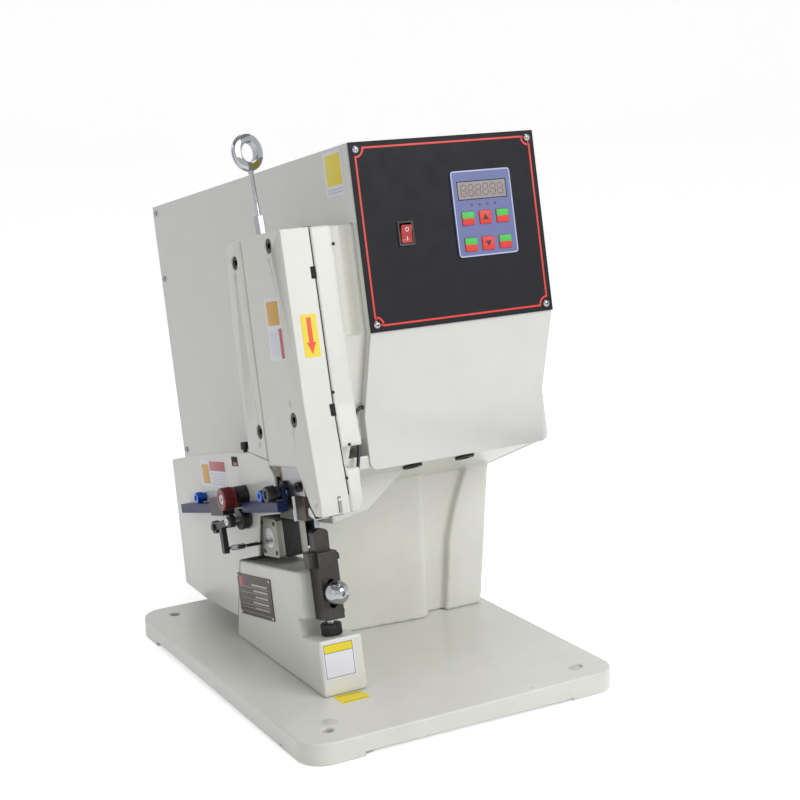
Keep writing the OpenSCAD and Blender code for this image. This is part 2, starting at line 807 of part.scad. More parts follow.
module anvil_holder() {
    color("#4A4A4C") in_body() difference() {
        union() {
            block([-die_x - anvil_w / 2, anvil_front, anvil_holder_bottom],
                [-die_x + anvil_w / 2, -jaw_front - slide_gap, anvil_holder_top]);
            block([-die_x - tongue_w / 2, -jaw_front - overrun, anvil_holder_bottom],
                [-die_x + tongue_w / 2, -jaw_front + tongue_d, jaw_top - anvil_travel]);
            block([-die_x - anvil_w / 2 - ear_w, anvil_front + ear_w, anvil_holder_top - ear_h],
                [-die_x, -jaw_front - ear_w / 2, anvil_holder_top]);
        }
        block([-die_x - blade_w / 2, punch_y0, blade_bottom_z],
            [-die_x + blade_w / 2, punch_y1, anvil_holder_top + overrun]);
        slab_y(anvil_front - overrun, -jaw_front + tongue_d + overrun) {
            translate([-die_x - stud_r - slide_gap, ball_z - stud_slot])
                square([2 * (stud_r + slide_gap), 2 * stud_slot - stud_r]);
            for (z = [ball_z - stud_slot, ball_z + stud_slot - stud_r])
                translate([-die_x, z]) circle(stud_r + slide_gap);
        }
        rod_z(anvil_holder_bottom - overrun, anvil_holder_bottom + ear_w, -die_x, -jaw_front - jaw_notch,
            screw_r + screw_gap);
        for (at = lock_screws_at)
            rod_x(-die_x + anvil_w / 4, -die_x + anvil_w, at[0], at[1], at[2] + screw_gap);
    }
}
// y, z, shank radius, head radius
lock_screws_at = [[anvil_front + ear_w, anvil_holder_top - ear_w, pad_screw_r, pad_head_r],
    [anvil_front + ear_w, anvil_holder_bottom + ear_w, pad_screw_r * 0.7, pad_head_r * 0.7]];

module lock_screws() {
    color(dark) in_body() for (at = lock_screws_at)
        translate([-die_x + anvil_w / 2, at[0], at[1]]) rotate([0, 0, 180])
            cap_screw(at[2], at[3], at[3], anvil_w / 4);
}

module anvil_blade() {
    color("#6A6A6C") in_body() slab_y(punch_y0 + spin_gap, punch_y1 - spin_gap)
        translate([-die_x - blade_w / 2 + spin_gap, blade_bottom_z]) {
            w = blade_w - 2 * spin_gap;
            h = anvil_top - blade_bottom_z;
            r = blade_w / 3;
            square([w, h - r]);
            translate([r, 0]) square([w - 2 * r, h]);
            for (x = [r, w - r]) translate([x, h - r]) circle(r);
        }
}

ball_y = anvil_front - washer_t - 0.8 * ball_r;

module ball_knob() {
    color("silver") in_body() difference() {
        union() {
            translate([-die_x, ball_y, ball_z]) sphere(ball_r);
            rod_y(ball_y, anvil_front - air_gap, -die_x, ball_z, ball_r * 0.55);
        }
        rod_y(ball_y, anvil_front + ball_r, -die_x, ball_z, stud_r + slide_gap);
        rod_y(ball_y - 2 * ball_r, ball_y - 0.75 * ball_r, -die_x, ball_z, ball_r * 0.42);
    }
}

module height_knob() {
    y = -jaw_front - jaw_notch;
    low = jaw_foot_top + air_gap;
    color(dark) in_body() {
        rod_z(low, low + height_knob_h, -die_x, y, height_knob_r);
        rod_z(low + height_knob_h - overrun, anvil_holder_bottom + ear_w - anvil_travel - slide_gap, -die_x, y, screw_r);
        rod_z(low - 0.8 * anvil_d, low + overrun, -die_x, y, screw_r);
    }
}

module cabinet_shell() {
    color(cream) in_body() difference() {
        slab_x(cab_left, cab_right) polygon([[fascia_back, cabinet_top], [fascia_back, panel_bottom],
            [band_back, fold_z], [band_back, saddle_lip_z], [saddle_heel_y, cabinet_bottom],
            [cabinet_back - sheet_t, cabinet_bottom], [cabinet_back - sheet_t, cabinet_top]]);
        block([cab_left + sheet_t, -reach, cabinet_bottom - overrun],
            [cab_right - sheet_t, saddle_back_y + seat_gap, cabinet_top - sheet_t]);
        block([cab_left + sheet_t, saddle_back_y, cabinet_bottom + sheet_t],
            [cab_right - sheet_t, reach, cabinet_top - sheet_t]);
        slab_x(-base_w, cab_right - sheet_t) saddle_outline(seat_gap);
        // way through the left wall for the web that carries the head
        slab_x(-base_w, 0) web_outline(seat_gap);
        rod_x(cab_left - overrun, cab_left + sheet_t + overrun, lead_route[0][1], lead_route[0][2], lead_d / 2 + screw_gap);
        for (at = wall_screws_at) rod_x(-base_w, base_w, at[0], at[1], pad_screw_r + screw_gap);
    }
}
wall_screws_at = [for (share = [0.12, 0.74, 0.975])
    [cabinet_back - 1.1 * flange_w, cabinet_bottom + share * (cabinet_top - cabinet_bottom)]];
panel_inner = [cab_left + sheet_t + seat_gap, cab_right - sheet_t - seat_gap];

module rear_panel() {
    color(cream) in_body() difference() {
        union() {
            block([cab_left, cabinet_back - sheet_t, cabinet_bottom], [cab_right, cabinet_back, cabinet_top]);
            for (x = [panel_inner[0], panel_inner[1] - sheet_t])
                block([x, cabinet_back - 2 * flange_w, cabinet_bottom + sheet_t + seat_gap],
                    [x + sheet_t, cabinet_back - overrun, cabinet_top - sheet_t - seat_gap]);
        }
        for (i = [0 : vent_count - 1])
            block([(cab_left + cab_right - vent_w) / 2, 0, head_top - i * vent_pitch],
                [(cab_left + cab_right + vent_w) / 2, reach, head_top - i * vent_pitch + vent_h]);
        for (at = wall_screws_at) rod_x(-base_w, base_w, at[0], at[1], pad_screw_r + screw_gap);
        block([inlet_x - inlet_w / 2, 0, socket_z - inlet_h / 2], [inlet_x + inlet_w / 2, reach, socket_z + inlet_h / 2]);
        rod_y(0, reach, pedal_x, socket_z, socket_r);
    }
}
inlet_x = cab_right - 2 * inlet_w;
pedal_x = cab_left + 2 * inlet_w;
socket_z = head_bottom + inlet_h;

module rear_sockets() {
    y = cabinet_back;
    color(dark) in_body() {
        difference() {
            union() {
                block([inlet_x - inlet_w / 2 + screw_gap, y - socket_depth, socket_z - inlet_h / 2 + screw_gap],
                    [inlet_x + inlet_w / 2 - screw_gap, y + overrun, socket_z + inlet_h / 2 - screw_gap]);
                block([inlet_x - inlet_w * 0.8, y, socket_z - inlet_h * 0.65], [inlet_x + inlet_w * 0.8, y + sheet_t, socket_z + inlet_h * 0.65]);
            }
            block([inlet_x - inlet_w * 0.4, y - socket_depth + sheet_t, socket_z - inlet_h * 0.36],
                [inlet_x + inlet_w * 0.4, y + 2 * sheet_t, socket_z + inlet_h * 0.36]);
        }
        difference() {
            union() {
                rod_y(y - socket_depth, y + overrun, pedal_x, socket_z, socket_r - screw_gap);
                rod_y(y, y + sheet_t, pedal_x, socket_z, socket_r * 1.35);
            }
            rod_y(y - socket_depth + sheet_t, y + 2 * sheet_t, pedal_x, socket_z, socket_r * 0.72);
        }
    }
}

module cabinet_screws() {
    color(steel) in_body() for (at = wall_screws_at) {
        translate([cab_left, at[0], at[1]]) cap_screw(pad_screw_r, pad_head_r, pad_head_h, cabinet_screw_l);
        translate([cab_right, at[0], at[1]]) rotate([0, 0, 180])
            cap_screw(pad_screw_r, pad_head_r, pad_head_h, cabinet_screw_l);
    }
}

module front_fascia() {
    color(cream) in_body() difference() {
        slab_x(cab_left, cab_right) polygon([[fascia_front, cabinet_top], [fascia_front, panel_bottom],
            [-band_front, fold_z], [-band_front, band_bottom], [band_back, band_bottom], [band_back, fold_z],
            [fascia_back, panel_bottom], [fascia_back, cabinet_top]]);
        for (side = [0, 1]) translate([side ? cab_right : cab_left, 0, band_bottom]) mirror([side, 0, 0])
            slab_y(-reach, reach) difference() {
                translate([-overrun, -overrun]) square(band_corner_r + overrun);
                translate([band_corner_r, band_corner_r]) circle(band_corner_r);
            }
        panel_cutouts(0);
    }
}

module panel_cutouts(grow) {
    block([switch_x - rocker_w / 2 - bezel_wall - grow, -reach, switch_z - rocker_h / 2 - bezel_wall - grow],
        [switch_x + rocker_w / 2 + bezel_wall + grow, 0, switch_z + rocker_h / 2 + bezel_wall + grow]);
    block([counter_x + counter_body_in - grow, -reach, counter_z + counter_body_in - grow],
        [counter_x + counter_w - counter_body_in + grow, 0, counter_z + counter_h - counter_body_in + grow]);
    for (x = panel_screws_x, z = panel_screws_z) rod_y(-reach, 0, x, z, pad_screw_r + screw_gap);
}
switch_x = cab_left + switch_in;
counter_x = cab_right - counter_in - counter_w;
panel_screws_x = [cab_left + panel_screw_in, cab_right - panel_screw_in];
panel_screws_z = [panel_bottom + panel_screw_in, cabinet_top - panel_screw_in];

module control_panel() {
    color("#10121A") in_body() difference() {
        block([cab_left, -panel_front, panel_bottom], [cab_right, panel_back, cabinet_top]);
        panel_cutouts(0);
    }
}

module panel_screws() {
    color("silver") in_body() for (x = panel_screws_x, z = panel_screws_z)
        translate([x, -panel_front, z]) rotate([0, 0, 90])
            cap_screw(pad_screw_r, pad_head_r, pad_head_h, cabinet_screw_l);
}

module switch_bezel() {
    in = rocker_w / 2 + bezel_wall;
    inz = rocker_h / 2 + bezel_wall;
    color(dark) in_body() difference() {
        union() {
            block([switch_x - in - overrun, -panel_front - bezel_out, switch_z - inz - overrun],
                [switch_x + in + overrun, -panel_front, switch_z + inz + overrun]);
            block([switch_x - in + screw_gap, -panel_front - screw_gap, switch_z - inz + screw_gap],
                [switch_x + in - screw_gap, -panel_front + socket_depth, switch_z + inz - screw_gap]);
        }
        block([switch_x - rocker_w / 2 - air_gap, -reach, switch_z - rocker_h / 2 - air_gap],
            [switch_x + rocker_w / 2 + air_gap, -panel_front + socket_depth - sheet_t, switch_z + rocker_h / 2 + air_gap]);
        rod_x(switch_x - in + overrun, switch_x + in - overrun, rocker_axis_y, switch_z, pad_screw_r / 2 + spin_gap);
    }
}
rocker_axis_y = -panel_front + 2;

module rocker_switch() {
    color("#C02018") in_body() translate([0, rocker_axis_y, switch_z]) rotate([rocker_tilt, 0, 0]) {
        slab_x(switch_x - rocker_w / 2, switch_x + rocker_w / 2)
            polygon([[-bezel_out - 2 * sheet_t, -rocker_h / 2 + 4 * seat_gap], [-bezel_out - sheet_t * 1.4, 0],
                [-bezel_out - 2 * sheet_t, rocker_h / 2 - 4 * seat_gap], [sheet_t, rocker_h / 2 - overrun],
                [2 * sheet_t, 0], [sheet_t, -rocker_h / 2 + overrun]]);
        rod_x(switch_x - rocker_w / 2 - bezel_wall + overrun + spin_gap, switch_x + rocker_w / 2 + bezel_wall - overrun - spin_gap,
            0, 0, pad_screw_r / 2);
    }
}

// Middle of a key: column -1, 0, 1 and row 0 (upper) or 1 (lower)
key_rows_z = counter_z + counter_h * 0.445;
function key_at(column, row) = [counter_x + counter_w / 2 + column * key_pitch_x, key_rows_z - row * key_pitch_z];

module counter_module() {
    front = -panel_front - counter_out;
    color("#6E78A8") in_body() difference() {
        union() {
            slab_y(front, -panel_front) translate([counter_x, counter_z]) rounded_square(counter_w, counter_h, counter_r);
            block([counter_x + counter_body_in + screw_gap, -panel_front - overrun / 2, counter_z + counter_body_in + screw_gap],
                [counter_x + counter_w - counter_body_in - screw_gap, -panel_front + counter_depth,
                counter_z + counter_h - counter_body_in - screw_gap]);
        }
        display_block(screw_gap, overrun);
        for (c = [-1, 0, 1], r = [0, 1]) let (at = key_at(c, r))
            block([at[0] - key_w / 2 - slide_gap, front - overrun, at[1] - key_h / 2 - slide_gap],
                [at[0] + key_w / 2 + slide_gap, key_back + key_travel + seat_gap, at[1] + key_h / 2 + slide_gap]);
    }
}
key_front = -panel_front - counter_out - 1.2;
key_back = key_front + 4;

module display_block(grow, out) {
    x = counter_x + (counter_w - display_w) / 2;
    z = counter_z + counter_h - display_h * 1.67;
    block([x - grow, -panel_front - counter_out - out, z - grow], [x + display_w + grow, -panel_front + grow, z + display_h + grow]);
}

module display_window() {
    color("#4A2530") in_body() display_block(0, 0);
}

module key(column, row, tint) {
    at = key_at(column, row);
    color(tint) in_body() block([at[0] - key_w / 2, key_front, at[1] - key_h / 2],
        [at[0] + key_w / 2, key_back, at[1] + key_h / 2]);
}

module controller_board() {
    y = -panel_front + counter_depth + seat_gap;
    color("#1F6B3A") in_body() {
        block([counter_x, y, counter_z], [counter_x + counter_w, y + board_t, counter_z + counter_h]);
        for (x = [counter_x + counter_body_in / 2 - standoff_r, counter_x + counter_w - counter_body_in / 2 + standoff_r],
            z = [counter_z + standoff_r, counter_z + counter_h - standoff_r]) {
            rod_y(fascia_back, y + board_t, x, z, standoff_r);
            block([x - standoff_r, y, z - standoff_r], [x + standoff_r, y + board_t, z + standoff_r]);
        }
    }
}

pulley_x0 = rib_right + 3 * bezel_wall;
pulley_x1 = pulley_x0 + pulley_w;
motor_x0 = pulley_x1 + 2 * column_flare / 2;

module drive_motor() {
    color("#5A6068") in_body() difference() {
        union() {
            rod_x(motor_x0, motor_x0 + motor_l, motor_y, motor_z, motor_r);
            block([motor_x0 + saddle_t, motor_y - motor_r * 0.9, cabinet_bottom + saddle_t],
                [motor_x0 + motor_l - saddle_t, motor_y + motor_r * 0.9, cabinet_bottom + 2 * saddle_t]);
            block([motor_x0 + 2 * saddle_t, motor_y - motor_r * 0.6, cabinet_bottom + saddle_t],
                [motor_x0 + motor_l - 2 * saddle_t, motor_y + motor_r * 0.6, motor_z]);
        }
        rod_x(motor_x0 - overrun, motor_x0 + pulley_w, motor_y, motor_z, motor_pulley_r / 2 + spin_gap);
    }
}

module motor_pulley() {
    color(steel) in_body() {
        rod_x(pulley_x0, pulley_x1, motor_y, motor_z, motor_pulley_r);
        rod_x(pulley_x0 - sheet_t, motor_x0 + pulley_w - overrun, motor_y, motor_z, motor_pulley_r / 2);
    }
}

module drive_belt() {
    color(dark) in_body() belt_loop(pulley_x0 + sheet_t, pulley_x1 - sheet_t, [-die_y, crank_z],
        driven_r + seat_gap, [motor_y, motor_z], motor_pulley_r + seat_gap, belt_t);
}

module driven_pulley() {
    color(steel) in_body() difference() {
        rod_x(pulley_x0, pulley_x1, -die_y, crank_z, driven_r);
        rod_x(pulley_x0 - overrun, pulley_x1 + overrun, -die_y, crank_z, crank_r);
        for (a = [0 : 60 : 300]) rod_x(pulley_x0 - overrun, pulley_x1 + overrun,
            -die_y + driven_r * 0.62 * cos(a), crank_z + driven_r * 0.62 * sin(a), driven_r * 0.16);
    }
}

module crankshaft() {
    flange_x = ram_right + flange_gap;
    color(steel) in_body() {
        rod_x(flange_x, pulley_x1 + sheet_t, -die_y, crank_z, crank_r);
        rod_x(flange_x, flange_x + flange_t, -die_y, crank_z, flange_r);
        rod_x(ram_right - slot_depth + overrun, flange_x + overrun, -die_y, crank_z + crank_throw, pin_r);
    }
}

module crank_roller() {
    color("silver") in_body() difference() {
        rod_x(ram_right - roller_l - overrun / 2, ram_right - overrun / 2, -die_y, crank_z + crank_throw, roller_r);
        rod_x(ram_right - 2 * slot_depth, ram_right + overrun, -die_y, crank_z + crank_throw, pin_r + spin_gap);
    }
}

module crank_bearings() {
    color("silver") in_body() for (x = [ram_right + flange_t + 2 * flange_gap, rib_right - bearing_w]) difference() {
        rod_x(x, x + bearing_w, -die_y, crank_z, bearing_r);
        rod_x(x - overrun, x + bearing_w + overrun, -die_y, crank_z, crank_r + spin_gap);
    }
}

// Outline of the feed cover in the body's (y, z), clockwise from its lower front corner
feed_outline = [[-6, 136], [-21, 180], [-76, 185.5], [-75.5, 225], [-65.5, 234], [-65.5, 240.2], [-20, 247.8],
    [47, 245.5], [175, 239], [223, 234.5], [230, 85], [168, 72], [76.8, 61.8], [49.5, 127.3]];
feed_inner = [[-40, 132], [-40, 222], [-30, 240], [47, 241], [175, 235], [219, 231],
    [226, 88], [168, 76.5], [79.8, 66], [52.5, 130]];

module feed_cover() {
    color(cream) difference() {
        union() {
            in_body() difference() {
                slab_x(left_face, bracket_left) polygon(feed_outline);
                slab_x(left_face + feed_sheet_t, bracket_right) polygon(feed_inner);
                block([left_face + feed_sheet_t, -reach, jaw_top], [bracket_right, -2 * feed_sheet_t, head_top]);
            }
        }
        in_feed() {
            for (pin = cover_pins)
                rod_x(left_face - overrun, left_face + feed_sheet_t + overrun, pin[1], pin[2], pin[3] + spin_gap);
            rod_x(left_face - overrun, left_face + feed_sheet_t + overrun, 0, 0, feed_shaft_r + air_gap);
            for (y = [thumb_rear_y, thumb_front_y])
                rod_x(left_face - overrun, left_face + feed_sheet_t + overrun, y, 0, motor_shaft_r + spin_gap);
        }
    }
}

// left end, y, z, radius of the lever's pivot and the spring's stud
cover_pins = [[lever_left - 2 * overrun, pivot_y, pivot_z, pivot_r],
    [lever_left + overrun, stud_y, stud_z, spring_stud_r]];

module feed_bracket() {
    color(steel) in_body() {
        difference() {
            slab_x(bracket_left, bracket_right) polygon([[feed_motor_y - spacer_pitch * 0.75, jaw_top + 2 * sheet_t],
                [feed_motor_y - spacer_pitch * 0.75, feed_motor_z + spacer_pitch * 0.75],
                [feed_y - 2 * feed_shaft_r, feed_z + 3 * feed_shaft_r], [2.6 * spacer_pitch, feed_z + 3 * feed_shaft_r],
                [2.6 * spacer_pitch, jaw_top + 2 * sheet_t]]);
            rod_x(bracket_left - overrun, bracket_right + overrun, feed_y, feed_z, feed_shaft_r + spin_gap);
        }
        for (y = [-1, 1], z = [-1, 1]) rod_x(feed_motor_right, bracket_left + overrun,
            feed_motor_y + y * spacer_pitch / 2, feed_motor_z + z * spacer_pitch / 2, spacer_r);
    }
}

module feed_motor() {
    half = feed_motor_w / 2;
    color("#1A1A1C") in_body() difference() {
        block([feed_motor_left, feed_motor_y - half, feed_motor_z - half],
            [feed_motor_right, feed_motor_y + half, feed_motor_z + half]);
        rod_x(feed_motor_right - 2 * feed_shaft_r, feed_motor_right + overrun, feed_motor_y, feed_motor_z,
            motor_shaft_r + spin_gap);
    }
}

module feed_motor_pulley() {
    mid = bracket_left - belt_zone / 2;
    color("silver") in_body() {
        rod_x(mid - feed_belt_w / 2, mid + feed_belt_w / 2, feed_motor_y, feed_motor_z, feed_motor_pulley_r);
        rod_x(feed_motor_right - 2 * feed_shaft_r + overrun, mid + feed_belt_w / 2, feed_motor_y, feed_motor_z, motor_shaft_r);
    }
}

module feed_belt() {
    mid = bracket_left - belt_zone / 2;
    color(dark) in_body() belt_loop(mid - feed_belt_w / 2 + overrun / 2, mid + feed_belt_w / 2 - overrun / 2,
        [feed_y, feed_z], feed_pulley_r + seat_gap, [feed_motor_y, feed_motor_z],
        feed_motor_pulley_r + seat_gap, feed_belt_t);
}

module feed_shaft() {
    mid = bracket_left - belt_zone / 2;
    color("silver") in_feed() {
        rod_x(left_face - bar_d - 2 * overrun, bracket_right - overrun, 0, 0, feed_shaft_r);
        rod_x(left_face - bar_d, left_face - air_gap, 0, 0, feed_roller_r);
        rod_x(mid - feed_belt_w / 2, mid + feed_belt_w / 2, 0, 0, feed_pulley_r);
    }
}

module feed_knob() {
    x1 = left_face - bar_d - 2 * overrun;
    color("#7A2A28") in_feed() difference() {
        rod_x(x1 - feed_knob_l, x1, 0, 0, feed_knob_r);
        rod_x(x1 - feed_knob_l - overrun, x1 - feed_knob_l + sheet_t, 0, 0, feed_knob_r * 0.42);
    }
}

module guide_bar() {
    x0 = left_face - bar_d;
    color("#1E2A6E") in_feed() {
        difference() {
            union() {
                block([x0, -bar_front, bar_top - bar_h], [left_face, bar_break_front, bar_top]);
                block([left_face - bar_d / 3, -bar_front, bar_top - overrun], [left_face, stop_y + stop_r, stop_r]);
            }
            rod_x(x0, left_face + overrun, stop_y, stop_z, motor_shaft_r + spin_gap);
        }
        block([x0, bar_break_rear, bar_top - bar_h], [left_face, bar_rear, bar_top]);
    }
}
stop_z = bar_top + stop_r + air_gap;

module guide_clamp() {
    color(dark) in_feed() {
        block([left_face - bar_d - 2 * overrun, clamp_front, -clamp_h], [left_face, bar_break_rear, 0]);
        for (pin = cover_pins)
            rod_x(pin[0], left_face + feed_sheet_t + overrun, pin[1], pin[2], pin[3]);
    }
}

module thumb_screw(y, z, r, l, x_tip) {
    difference() {
        union() {
            rod_x(x_tip - l, x_tip, y, z, r);
            rod_x(x_tip - overrun, left_face + feed_sheet_t - seat_gap, y, z, motor_shaft_r);
        }
        rod_x(x_tip - l - overrun, x_tip - l + sheet_t, y, z, r * 0.45);
    }
}

module guide_screw_rear() {
    color("#2F6FC0") in_feed() thumb_screw(thumb_rear_y, 0, thumb_r, thumb_l, left_face - air_gap);
}

module guide_screw_front() {
    color("#2F6FC0") in_feed() thumb_screw(thumb_front_y, 0, thumb_r, thumb_l, left_face - air_gap);
}

module stop_screw() {
    color(dark) in_feed() difference() {
        union() {
            rod_x(left_face - bar_d / 3 - air_gap - stop_l, left_face - bar_d / 3 - air_gap, stop_y, stop_z, stop_r);
            rod_x(left_face - bar_d / 2, left_face - air_gap, stop_y, stop_z, motor_shaft_r);
        }
        rod_x(left_face - 2 * bar_d - stop_l, left_face - bar_d / 3 - stop_l + sheet_t, stop_y, stop_z, stop_r * 0.4);
    }
}

module pinch_lever() {
    hub = [0, -pinch_drop];
    pivot = [pivot_y, pivot_z];
    color(dark) in_feed() difference() {
        slab_x(lever_left, lever_left + lever_t) {
            translate(hub) circle(2 * pivot_r);
            translate(pivot) circle(2 * pivot_r);
            polygon([hub + [-overrun, arm_w / 2], pivot + [overrun, arm_w / 2], pivot + [overrun, -arm_w / 2],
                hub - [overrun, arm_w / 2]]);
            translate([arm_y - arm_w / 2, arm_z]) square([arm_w, pivot_z - arm_z + overrun]);
        }
        rod_x(lever_left - overrun, lever_left + lever_t + overrun, pivot[0], pivot[1], pivot_r + spin_gap);
        rod_x(lever_left - overrun, lever_left + lever_t + overrun, hub[0], hub[1], motor_shaft_r + spin_gap);
    }
    color(dark) in_feed() rod_x(lever_left + lever_t - overrun, spring_x + spring_r + overrun, hook_y, hook_z, spring_stud_r);
}

module pinch_wheel() {
    color("#3A3A3C") in_feed() {
        rod_x(left_face - bar_d, left_face - 2 * overrun, 0, -pinch_drop, feed_roller_r);
        rod_x(lever_left - overrun, left_face - 2 * overrun, 0, -pinch_drop, motor_shaft_r);
        rod_x(lever_left - 3 * overrun, lever_left - seat_gap, 0, -pinch_drop, motor_shaft_r * 1.8);
    }
}

spring_len = norm([hook_y - stud_y, hook_z - stud_z]);
spring_tilt = atan2(hook_z - stud_z, hook_y - stud_y);
spring_steps = 8;
spring_inset = spring_stud_r + spring_wire_r + air_gap;
spring_route = [for (i = [0 : spring_curls * spring_steps])
    let (a = 360 * i / spring_steps,
        s = spring_inset + (spring_len - 2 * spring_inset) * i / (spring_curls * spring_steps))
    [spring_r * cos(a), s, spring_r * sin(a)]];

module pinch_spring() {
    color("silver") in_feed() translate([spring_x, stud_y, stud_z]) rotate([spring_tilt, 0, 0])
        tube(spring_route, spring_wire_r, 6);
}
// Least gap between neighbouring curls
spring_gap = (spring_len - 2 * spring_inset) / spring_curls - 2 * spring_wire_r;
echo(spring_gap = spring_gap);

module at_coupling() {
    in_body() translate([coupling_x, coupling_y, head_top + coupling_r * sin(-rod_lean)])
        rotate([0, rod_lean, 0]) children();
}

module ring_coupling() {
    color(steel) at_coupling() difference() {
        cylinder(h = coupling_h, r = coupling_r, $fn = 6);
        rod_z(coupling_h / 3, coupling_h + overrun, 0, 0, rod_r + spin_gap);
    }
}

module guide_ring() {
    color("silver") at_coupling() {
        difference() {
            union() {
                rod_z(coupling_h / 3 + air_gap, coupling_h + rod_l - ring_r + overrun, 0, 0, rod_r);
                translate([0, 0, coupling_h + rod_l]) rotate([90, 0, ring_turn])
                    translate([0, 0, -ring_t / 2]) cylinder(h = ring_t, r = ring_r);
            }
            translate([0, 0, coupling_h + rod_l]) rotate([90, 0, ring_turn])
                translate([0, 0, -ring_t]) cylinder(h = 2 * ring_t, r = ring_hole_r);
        }
    }
}

module sensor_lead() {
    color(dark) in_body() tube(lead_route, lead_d / 2, lead_sides);
}

base_plate();
frame_bolts();
c_frame();
head_side_plate();
head_rear_plate();
head_bolts();
ram_gibs();
ram();
ram_screws();
punch_holder();
crimp_punch();
anvil_holder();
anvil_blade();
ball_knob();
height_knob();
lock_screws();
cabinet_shell();
rear_panel();
rear_sockets();
cabinet_screws();
front_fascia();
control_panel();
panel_screws();
switch_bezel();
rocker_switch();
counter_module();
display_window();
key(-1, 0, "#4FC95A");  // key_set_left
key(0, 0, "#E8382C");  // key_up
key(1, 0, "#4FC95A");  // key_set_right
key(-1, 1, "#4FC95A");  // key_clear_left
key(0, 1, "#E8382C");  // key_down
key(1, 1, "#4FC95A");  // key_clear_right
controller_board();
drive_motor();
motor_pulley();
drive_belt();
driven_pulley();
crankshaft();
crank_bearings();
crank_roller();
feed_cover();
feed_bracket();
feed_motor();
feed_motor_pulley();
feed_belt();
feed_shaft();
feed_knob();
guide_bar();
guide_clamp();
guide_screw_rear();
guide_screw_front();
stop_screw();
pinch_lever();
pinch_wheel();
pinch_spring();
guide_ring();
ring_coupling();
sensor_lead();
grommets();
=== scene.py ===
"""Looks of the bench crimping machine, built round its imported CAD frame.

Lengths are millimetres unless a name ends in _M. The machine's body leans back on its
level base, so most shapes are drawn in the body's own axes (x to the right, v to the rear
along the body, w up along the ram) and are placed once by BODY. The tape feed is pitched
a little more and is drawn in FEED's axes round its roller. Left faces look towards -x and
front faces towards -v.
"""

from __future__ import annotations

import logging
import math
from dataclasses import dataclass, field
from enum import Enum
from typing import Iterable, Sequence

import bmesh
import bpy
from mathutils import Matrix, Vector


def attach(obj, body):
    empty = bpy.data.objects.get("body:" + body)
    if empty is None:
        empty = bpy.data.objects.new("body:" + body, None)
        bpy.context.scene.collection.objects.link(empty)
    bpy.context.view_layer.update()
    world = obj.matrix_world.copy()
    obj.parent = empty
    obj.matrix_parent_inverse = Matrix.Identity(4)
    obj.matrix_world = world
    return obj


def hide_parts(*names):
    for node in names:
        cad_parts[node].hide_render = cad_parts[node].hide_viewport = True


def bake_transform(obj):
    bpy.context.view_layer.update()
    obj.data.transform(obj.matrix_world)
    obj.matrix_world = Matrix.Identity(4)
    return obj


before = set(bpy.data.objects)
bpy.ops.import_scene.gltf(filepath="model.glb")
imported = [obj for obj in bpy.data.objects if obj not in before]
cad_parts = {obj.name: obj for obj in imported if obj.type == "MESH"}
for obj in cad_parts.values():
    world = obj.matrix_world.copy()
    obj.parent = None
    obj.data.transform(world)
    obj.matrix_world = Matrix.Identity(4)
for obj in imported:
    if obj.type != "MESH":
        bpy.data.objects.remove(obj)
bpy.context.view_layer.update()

LOG = logging.getLogger("crimping_machine")

MM = 0.001
LEAN = math.radians(10.0)
FEED_PITCH = math.radians(3.2)
EYE_TILT = math.radians(-3.0)
WORLD = Matrix.Scale(MM, 4)
BODY = WORLD @ Matrix.Rotation(-LEAN, 4, "X")
FEED = BODY @ Matrix.Translation((0.0, 7.5, 201.0)) @ Matrix.Rotation(-FEED_PITCH, 4, "X")
EYE = BODY @ Matrix.Translation((-104.0, -102.0, 470.3)) @ Matrix.Rotation(EYE_TILT, 4, "Y")

Point = Sequence[float]
Outline = Sequence[Point]
Box = tuple[float, float, float, float]


class Axis(Enum):
    """Local axis along which a shape is drawn out or turned."""

    X = Matrix(((0, 0, 1, 0), (1, 0, 0, 0), (0, 1, 0, 0), (0, 0, 0, 1)))
    Y = Matrix(((1, 0, 0, 0), (0, 0, 1, 0), (0, -1, 0, 0), (0, 0, 0, 1)))
    Z = Matrix.Identity(4)


@dataclass(frozen=True)
class Finish:
    """One procedural finish.

    Real brushing and grinding lines are about 0.1 mm apart, too fine to show, so the grain
    of worked metal is drawn at 0.3 to 0.7 mm. The orange peel of enamel is at its real size.

    Attributes:
        colour: sRGB hex of the clean surface.
        rough: mean roughness.
        metal: share of metal.
        coat: strength of a clear coat.
        grain: size of the fine bump.
        bump: height of the fine bump.
        blotch: share by which the colour drifts.
        blotch_size: size of the colour's patches.
        brush: stretch of the grain along the local axes, for worked metal.
        wear: how much the edges are rubbed.
        wear_colour: sRGB hex under the rubbed edges.
        edge: radius by which edges are rounded in the shading.
        glow: brightness that only the camera and reflections see, 1 being white.
        specular: strength of the surface's reflection.
    """

    colour: str
    rough: float = 0.45
    metal: float = 0.0
    coat: float = 0.0
    grain: float = 1.5
    bump: float = 0.02
    blotch: float = 0.03
    blotch_size: float = 45.0
    brush: tuple[float, float, float] = (1.0, 1.0, 1.0)
    wear: float = 0.0
    wear_colour: str = "#8C8C88"
    edge: float = 0.0
    glow: float = 0.0
    specular: float = 0.5


